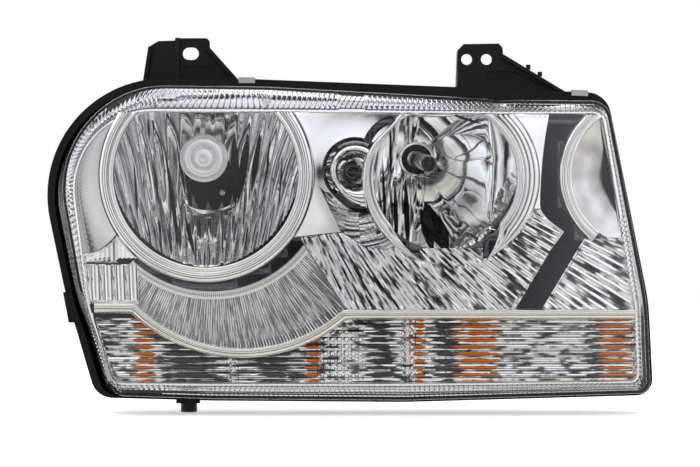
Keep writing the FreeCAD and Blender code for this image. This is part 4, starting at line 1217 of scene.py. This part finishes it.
# Low-beam bowl: painted dark reflections as streaks on its facets and near-black lens shapes.
LOW_BOWL_PAINTED_REFLECTIONS = bowl_painted_reflections("low bowl mirror", LOW_AXIS, PITCH, 1.5, 0.022,
                         [(0.2, 0.1), (0.26, 0.5), (0.31, 0.95), (0.4, 1.0)], 200.0,
                         [(-116, 20, -122, 62, 2.2), (-108, 18, -113, 66, 7.0), (-99, 18, -100, 64, 7.5),
                          (-91, 20, -91, 62, 5.5), (-84, 23, -85.5, 79, 3.4), (-82.5, 25, -74.5, 80, 3.2),
                          (-72.5, 33, -65.5, 81, 2.3), (-62, 40, -58, 78, 0.8), (-139.5, 24, -144.5, 60, 1.1),
                          (-124, -9, -136, 66, 1.7), (-120.5, 30, -127.6, 70, 1.4), (-112, -13, -121.2, 19, 1.8),
                          (-146.6, 72, -147.3, 90, 1.0), (-153.7, 14, -157.9, 60, 1.0), (-136.5, 2, -139.5, 16, 0.9),
                          (-52, 20, -49, 62, 0.8), (-92, -12, -93, 8, 0.8), (-76, -8, -74, 14, 0.8)])
bowl_skin("low_mirror", LOW_RING, 70.0, LOW_AXIS, 26.0, 98.0, low_relief, low_lattice, 11.0, LOW_BOWL_PAINTED_REFLECTIONS)

HIGH_AXIS = (49.0, 59.5)


def high_relief(x, z):
    if x < 50 and z < 92:
        return 1.2 * cusp((x - 4 + 0.12 * (50 - z)) / 9.5)
    if z > 58:
        return 0.5 + 0.012 * (z - 58) * (x - 50) * 0.2
    return 0.4 + 0.02 * abs(x - 82)


high_lattice = []
for i in range(60):
    for j in range(60):
        z = -12 + 2 * j
        high_lattice.append((12 + i * 1.19 - 0.12 * (50 - z) if i < 34 else 12 + i * 1.9 - 24, z))
# High-beam bowl: painted dark reflections as streaks on its facets and near-black lens shapes.
HIGH_BOWL_PAINTED_REFLECTIONS = bowl_painted_reflections("high bowl mirror", HIGH_AXIS, 9.5, 2.0, 0.03,
                          [(0.26, 0.04), (0.33, 0.3), (0.38, 0.85), (0.44, 1.0)], 56.0,
                          [(26, -4, 24, 62, 1.3), (34, -8, 33, 44, 1.8), (42, -10, 41, 46, 2.2), (70, -10, 55, 28, 7.5), (60, -10, 52, 24, 4.0),
                           (30, 44, 30, 84, 1.1), (104, 2, 110, 34, 1.2), (96, 84, 74, 92, 3.0), (112, 50, 114, 78, 1.6)])
bowl_skin("high_mirror", HIGH_OPEN, 55.5, HIGH_AXIS, 24.0, 91.0, high_relief, high_lattice, 12.5, HIGH_BOWL_PAINTED_REFLECTIONS)
for name in ("low_reflector", "high_reflector", "park_reflector"):
    dress(name, MIRROR)
dress("inner_reflector", SHADED_PANEL_CHROME)

GREY = moulded("grey nylon", (0.30, 0.30, 0.31), 0.35, 0.55)
NATURAL = moulded("natural nylon", (0.72, 0.70, 0.63), 0.3, 0.5)
STEEL = moulded("zinc plated steel", (0.62, 0.62, 0.60), 0.22, 0.4, 400.0, 0.1, (0.5, 0.49, 0.46), 1.0)
dress("carrier", BLACK)
dress("pivot_sockets", NATURAL)
dress("adjuster_socket", NATURAL)
dress("adjuster_housing", GREY)
dress("adjuster_nut", NATURAL)
for name in ("adjuster_stud", "pivot_studs", "pivot_nuts", "lens_clips"):
    dress(name, STEEL)
SHIELD = plated("satin aluminium", (0.95, 0.955, 0.96), (0.90, 0.90, 0.90), 0.30, 0.38)
shield_front, shield_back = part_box("bulb_shield")
SHIELD_Y = (shield_front.y - LAMP.y) / MM
CAP = (-105.4, 59.0)
cap_rows = []
for reach, back in ((0.01, 0.0), (3.0, 0.1), (6.0, 0.5), (8.2, 1.3), (8.7, 1.9), (9.3, 1.4), (11.5, 1.3), (14.0, 1.9), (15.8, 2.9),
                    (16.6, 4.2), (16.8, 6.5), (16.8, 9.0)):
    cap_rows.append([(x, SHIELD_Y + back, z) for x, z in circle(CAP, reach, 0, 360, 5)[:-1]])
points, faces = loft(cap_rows, True)
piece("shield_cap", points, faces, SHIELD, body="reflectors", slot="bulb_shield", stands_for=["bulb_shield"], sharp=50,
      thick=0.6)
stalk_rows = []
for z, y in ((74.0, SHIELD_Y + 6.0), (80.0, SHIELD_Y + 10.0), (86.0, SHIELD_Y + 22.0), (90.0, SHIELD_Y + 34.0)):
    stalk_rows.append([(-106.5 + x, y + d, z) for x, d in ((-1.7, 0.0), (1.7, 0.0), (1.7, 1.2), (-1.7, 1.2))])
piece("shield_stalk", *loft(stalk_rows, True), SHIELD, body="reflectors", slot="bulb_shield", sharp=40)
screw_rows = []
for reach, y in ((0.01, 4.2), (0.5, 4.2), (0.6, 4.6), (1.2, 4.2), (1.9, 4.8), (2.1, 6.4), (2.1, 9.0)):
    screw_rows.append([(x, y, z) for x, z in circle((-93.4, 34.6), reach, 0, 360, 20)[:-1]])
piece("pad_screw", *loft(screw_rows, True), STEEL, body="reflectors", slot="low_reflector", sharp=50)

# ==== Park lamp ring ====
# Small chrome cone round the park bulb, behind a dark gap.
park_rows = []
for share, y in ((0.0, -37.0), (0.12, -40.0), (0.25, -43.0), (0.5, -44.4), (0.8, -43.6), (1.0, -41.5), (1.0, -38.0)):
    row = []
    for k in range(180):
        a = math.radians(2 * k)
        swell = 9 * max(0.0, math.cos(a + math.radians(62))) ** 3
        reach = 12.8 + (18.4 + swell - 12.8) * share
        row.append((PARK_SPOT[0] + reach * math.cos(a), y, PARK_SPOT[1] + reach * math.sin(a)))
    park_rows.append(row)
park_points, park_faces = loft(park_rows, True)
park_faces = [f for f in park_faces if all(far((park_points[i][0], park_points[i][2]), HIGH_RING) > 55 for i in f)]
piece("park_ring", park_points, park_faces, CHROME, slot="bezel", sharp=50)

# ==== Lower cells ====
# Three mirror troughs below the divider for the marker and turn lamps. Level flutes run across them,
# a few areas are quilted, and each ends in a bright upright pillar. The amber bulbs' reflections and dark
# reflections are painted on parts of them.
CELL_MID = -79.5
CELL_PITCH = 5.0
PAINTED_AMBER_SPANS = {"marker_cell": [(-157, -138)], "middle_cell": [(-33, -20)],
               "turn_cell": [(45, 55), (72, 112), (176, 206)]}
PAINTED_DARK_SPANS = {"marker_cell": [(-140, -92)], "middle_cell": [(-70, -40), (9, 36)], "turn_cell": [(58, 84), (168, 190)]}


def mirror_with_painted_amber(name, amber, dark):
    """Mirror with painted reflections: dark streaks along its flutes, then the amber bulb's reflection and dark patches
    painted as lens shapes on each flute.
    """
    made = plated(name, (0.94, 0.945, 0.95), (0.90, 0.89, 0.87), 0.03, 0.08, 0.2)
    tree = made.node_tree
    shader = tree.nodes["Principled BSDF"]
    x_mm, z_mm = place_mm(tree)
    level = maths(tree, "FLOOR", maths(tree, "MULTIPLY", maths(tree, "SUBTRACT", z_mm, CELL_MID), 3.0 / CELL_PITCH))
    streaks(made, maths(tree, "MULTIPLY", level, 3.7), maths(tree, "MULTIPLY", x_mm, 0.06),
            [(0.39, 0.04), (0.44, 0.25), (0.49, 0.85), (0.53, 1.0)])
    phase = maths(tree, "FRACT", maths(tree, "DIVIDE", maths(tree, "SUBTRACT", z_mm, CELL_MID), CELL_PITCH))
    crest = maths(tree, "MULTIPLY", maths(tree, "ABSOLUTE", maths(tree, "SUBTRACT", phase, 0.5)), 2.0)
    uneven_x = node(tree, "ShaderNodeTexNoise", [("Vector", node(tree, "ShaderNodeTexCoord").outputs["Object"]),
                                                 ("Scale", 150.0), ("Detail", 1.0)])
    crest = maths(tree, "ADD", crest, maths(tree, "MULTIPLY_ADD", uneven_x.outputs["Fac"], 0.9, -0.45))
    colour = shader.inputs["Base Color"].links[0].from_socket
    # Painted dark reflections first, then the amber bulbs' painted reflections.
    for spans, paint, wide in ((dark, (0.05, 0.05, 0.055), 0.72), (amber, (0.55, 0.135, 0.004), 0.7)):
        for start, end in spans:
            middle, half = (start + end) / 2, (end - start) / 2
            share = maths(tree, "ABSOLUTE", maths(tree, "DIVIDE", maths(tree, "SUBTRACT", x_mm, middle), half))
            lens = maths(tree, "SUBTRACT", wide, maths(tree, "MULTIPLY", maths(tree, "POWER", share, 2.0), wide))
            mask = node(tree, "ShaderNodeMapRange", [("Value", maths(tree, "SUBTRACT", lens, crest)),
                                                     ("From Min", 0.0), ("From Max", 0.1)]).outputs[0]
            colour = node(tree, "ShaderNodeMix", [(0, mask), (6, colour), (7, (*paint, 1))],
                          data_type="RGBA").outputs[2]
    tree.links.new(colour, shader.inputs["Base Color"])
    return made


def cell(name, x0, x1, quilted):
    rows = []
    steps = 114
    columns = []
    x = x0
    while x < x1:
        columns.append(x)
        x += 1.0
    columns.append(x1)
    for j in range(steps + 1):
        z = -103.0 + 47.0 * j / steps
        flute = cusp((z - CELL_MID) / CELL_PITCH)
        row = []
        for x in columns:
            wall = max(0.0, 1 - (x - x0) / 5.0, 1 - (x1 - x) / 5.0)
            y = -28.0 - (z - CELL_MID) ** 2 / 200.0 - 1.0 * flute - 4.5 * wall ** 2
            for a, b in quilted:
                if a < x < b:
                    y -= 0.9 * cusp(x / 5.0)
            row.append((x, y, z))
        rows.append(row)
    points, faces = loft(rows)
    outer = walk(LENS, COARSE, 8.0)
    faces = [f for f in faces if inside(outer, points[f[0]][0], points[f[0]][2])]
    piece(name + "_mirror", points, faces, mirror_with_painted_amber(name + " mirror", PAINTED_AMBER_SPANS[name], PAINTED_DARK_SPANS[name]),
          slot=name, stands_for=[name], sharp=24, thick=0.6)


cell("marker_cell", -190.0, -84.5, [])
cell("middle_cell", -84.0, 41.0, [(-24, 11)])
cell("turn_cell", 41.5, 206.0, [(47, 69)])

# ==== Bulbs ====
# Halogen capsules with a coiled filament on two leads; the park, turn and marker bulbs plug in from
# behind. The turn and marker bulbs are amber glass.


def bulb_glass(name, colour):
    made = bpy.data.materials.new(name)
    made.use_nodes = True
    tree = made.node_tree
    shader = tree.nodes["Principled BSDF"]
    shader.inputs["Base Color"].default_value = (*colour, 1)
    shader.inputs["Roughness"].default_value = 0.02
    shader.inputs["IOR"].default_value = 1.45
    shader.inputs["Transmission Weight"].default_value = 1.0
    open_air = node(tree, "ShaderNodeBsdfTransparent", [("Color", (*colour, 1))])
    shadow = node(tree, "ShaderNodeLightPath").outputs["Is Shadow Ray"]
    joined = node(tree, "ShaderNodeMixShader", [(0, shadow), (1, shader.outputs[0]), (2, open_air.outputs[0])])
    tree.links.new(joined.outputs[0], tree.nodes["Material Output"].inputs["Surface"])
    return made


QUARTZ = bulb_glass("quartz glass", (0.97, 0.98, 0.98))
AMBER = bulb_glass("amber glass", (0.95, 0.33, 0.02))
for name in ("low_bulb_glass", "high_bulb_glass", "park_bulb"):
    dress(name, QUARTZ)
for name in ("turn_bulb", "marker_bulb"):
    dress(name, AMBER)
FILAMENT = moulded("tungsten", (0.35, 0.34, 0.33), 0.3, 0.4, 400.0, 0.05, None, 1.0)


def filament(name, node_name, body, radius, half, turns):
    """A coil across the capsule with a lead down to the base at each end."""
    low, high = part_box(node_name)
    cx = ((low.x + high.x) / 2 - LAMP.x) / MM
    cz = ((low.z + high.z) / 2 - LAMP.z) / MM
    cy = (low.y - LAMP.y) / MM + (11.0 if half > 2 else 7.0)
    spine = [(cx - half, cy + 12, cz), (cx - half, cy, cz)]
    for k in range(turns * 8 + 1):
        a = 2 * math.pi * k / 8
        spine.append((cx - half + 2 * half * k / (turns * 8), cy + radius * math.cos(a), cz + radius * math.sin(a)))
    spine += [(cx + half, cy, cz), (cx + half, cy + 12, cz)]
    rows = []
    for i, spot in enumerate(spine):
        along = (Vector(spine[min(i + 1, len(spine) - 1)]) - Vector(spine[max(i - 1, 0)])).normalized()
        side = along.orthogonal().normalized()
        up = along.cross(side)
        rows.append([tuple(Vector(spot) + (side * math.cos(t) + up * math.sin(t)) * 0.16)
                     for t in (0.0, 1.571, 3.142, 4.712)])
    piece(name, *loft(rows, True), FILAMENT, body=body, slot=node_name)


filament("low_filament", "low_bulb_glass", "low_bulb", 0.6, 2.6, 8)
filament("high_filament", "high_bulb_glass", "high_bulb", 0.6, 2.6, 8)
filament("park_filament", "park_bulb", "park_lamp", 0.4, 1.4, 5)
SOCKET = moulded("black bulb base", (0.012, 0.012, 0.013), 0.3, 0.5)
for name in ("low_bulb_base", "high_bulb_base"):
    dress(name, SOCKET)
for name in ("park_socket", "turn_socket", "marker_socket"):
    dress(name, GREY)

# ==== Rubber: seal, boots, gaskets, rings and vent caps ====
# Black EPDM rubber, matt with a light bloom. The boots close the gap between the tilting necks and the
# back wall.
RUBBER = moulded("black rubber", (0.010, 0.010, 0.010), 0.6, 0.8, 500.0, 0.2)
for name in ("lens_seal", "low_boot", "high_boot", "park_gasket", "turn_gasket", "marker_gasket", "low_bulb_ring",
             "high_bulb_ring", "vent_caps"):
    dress(name, RUBBER)
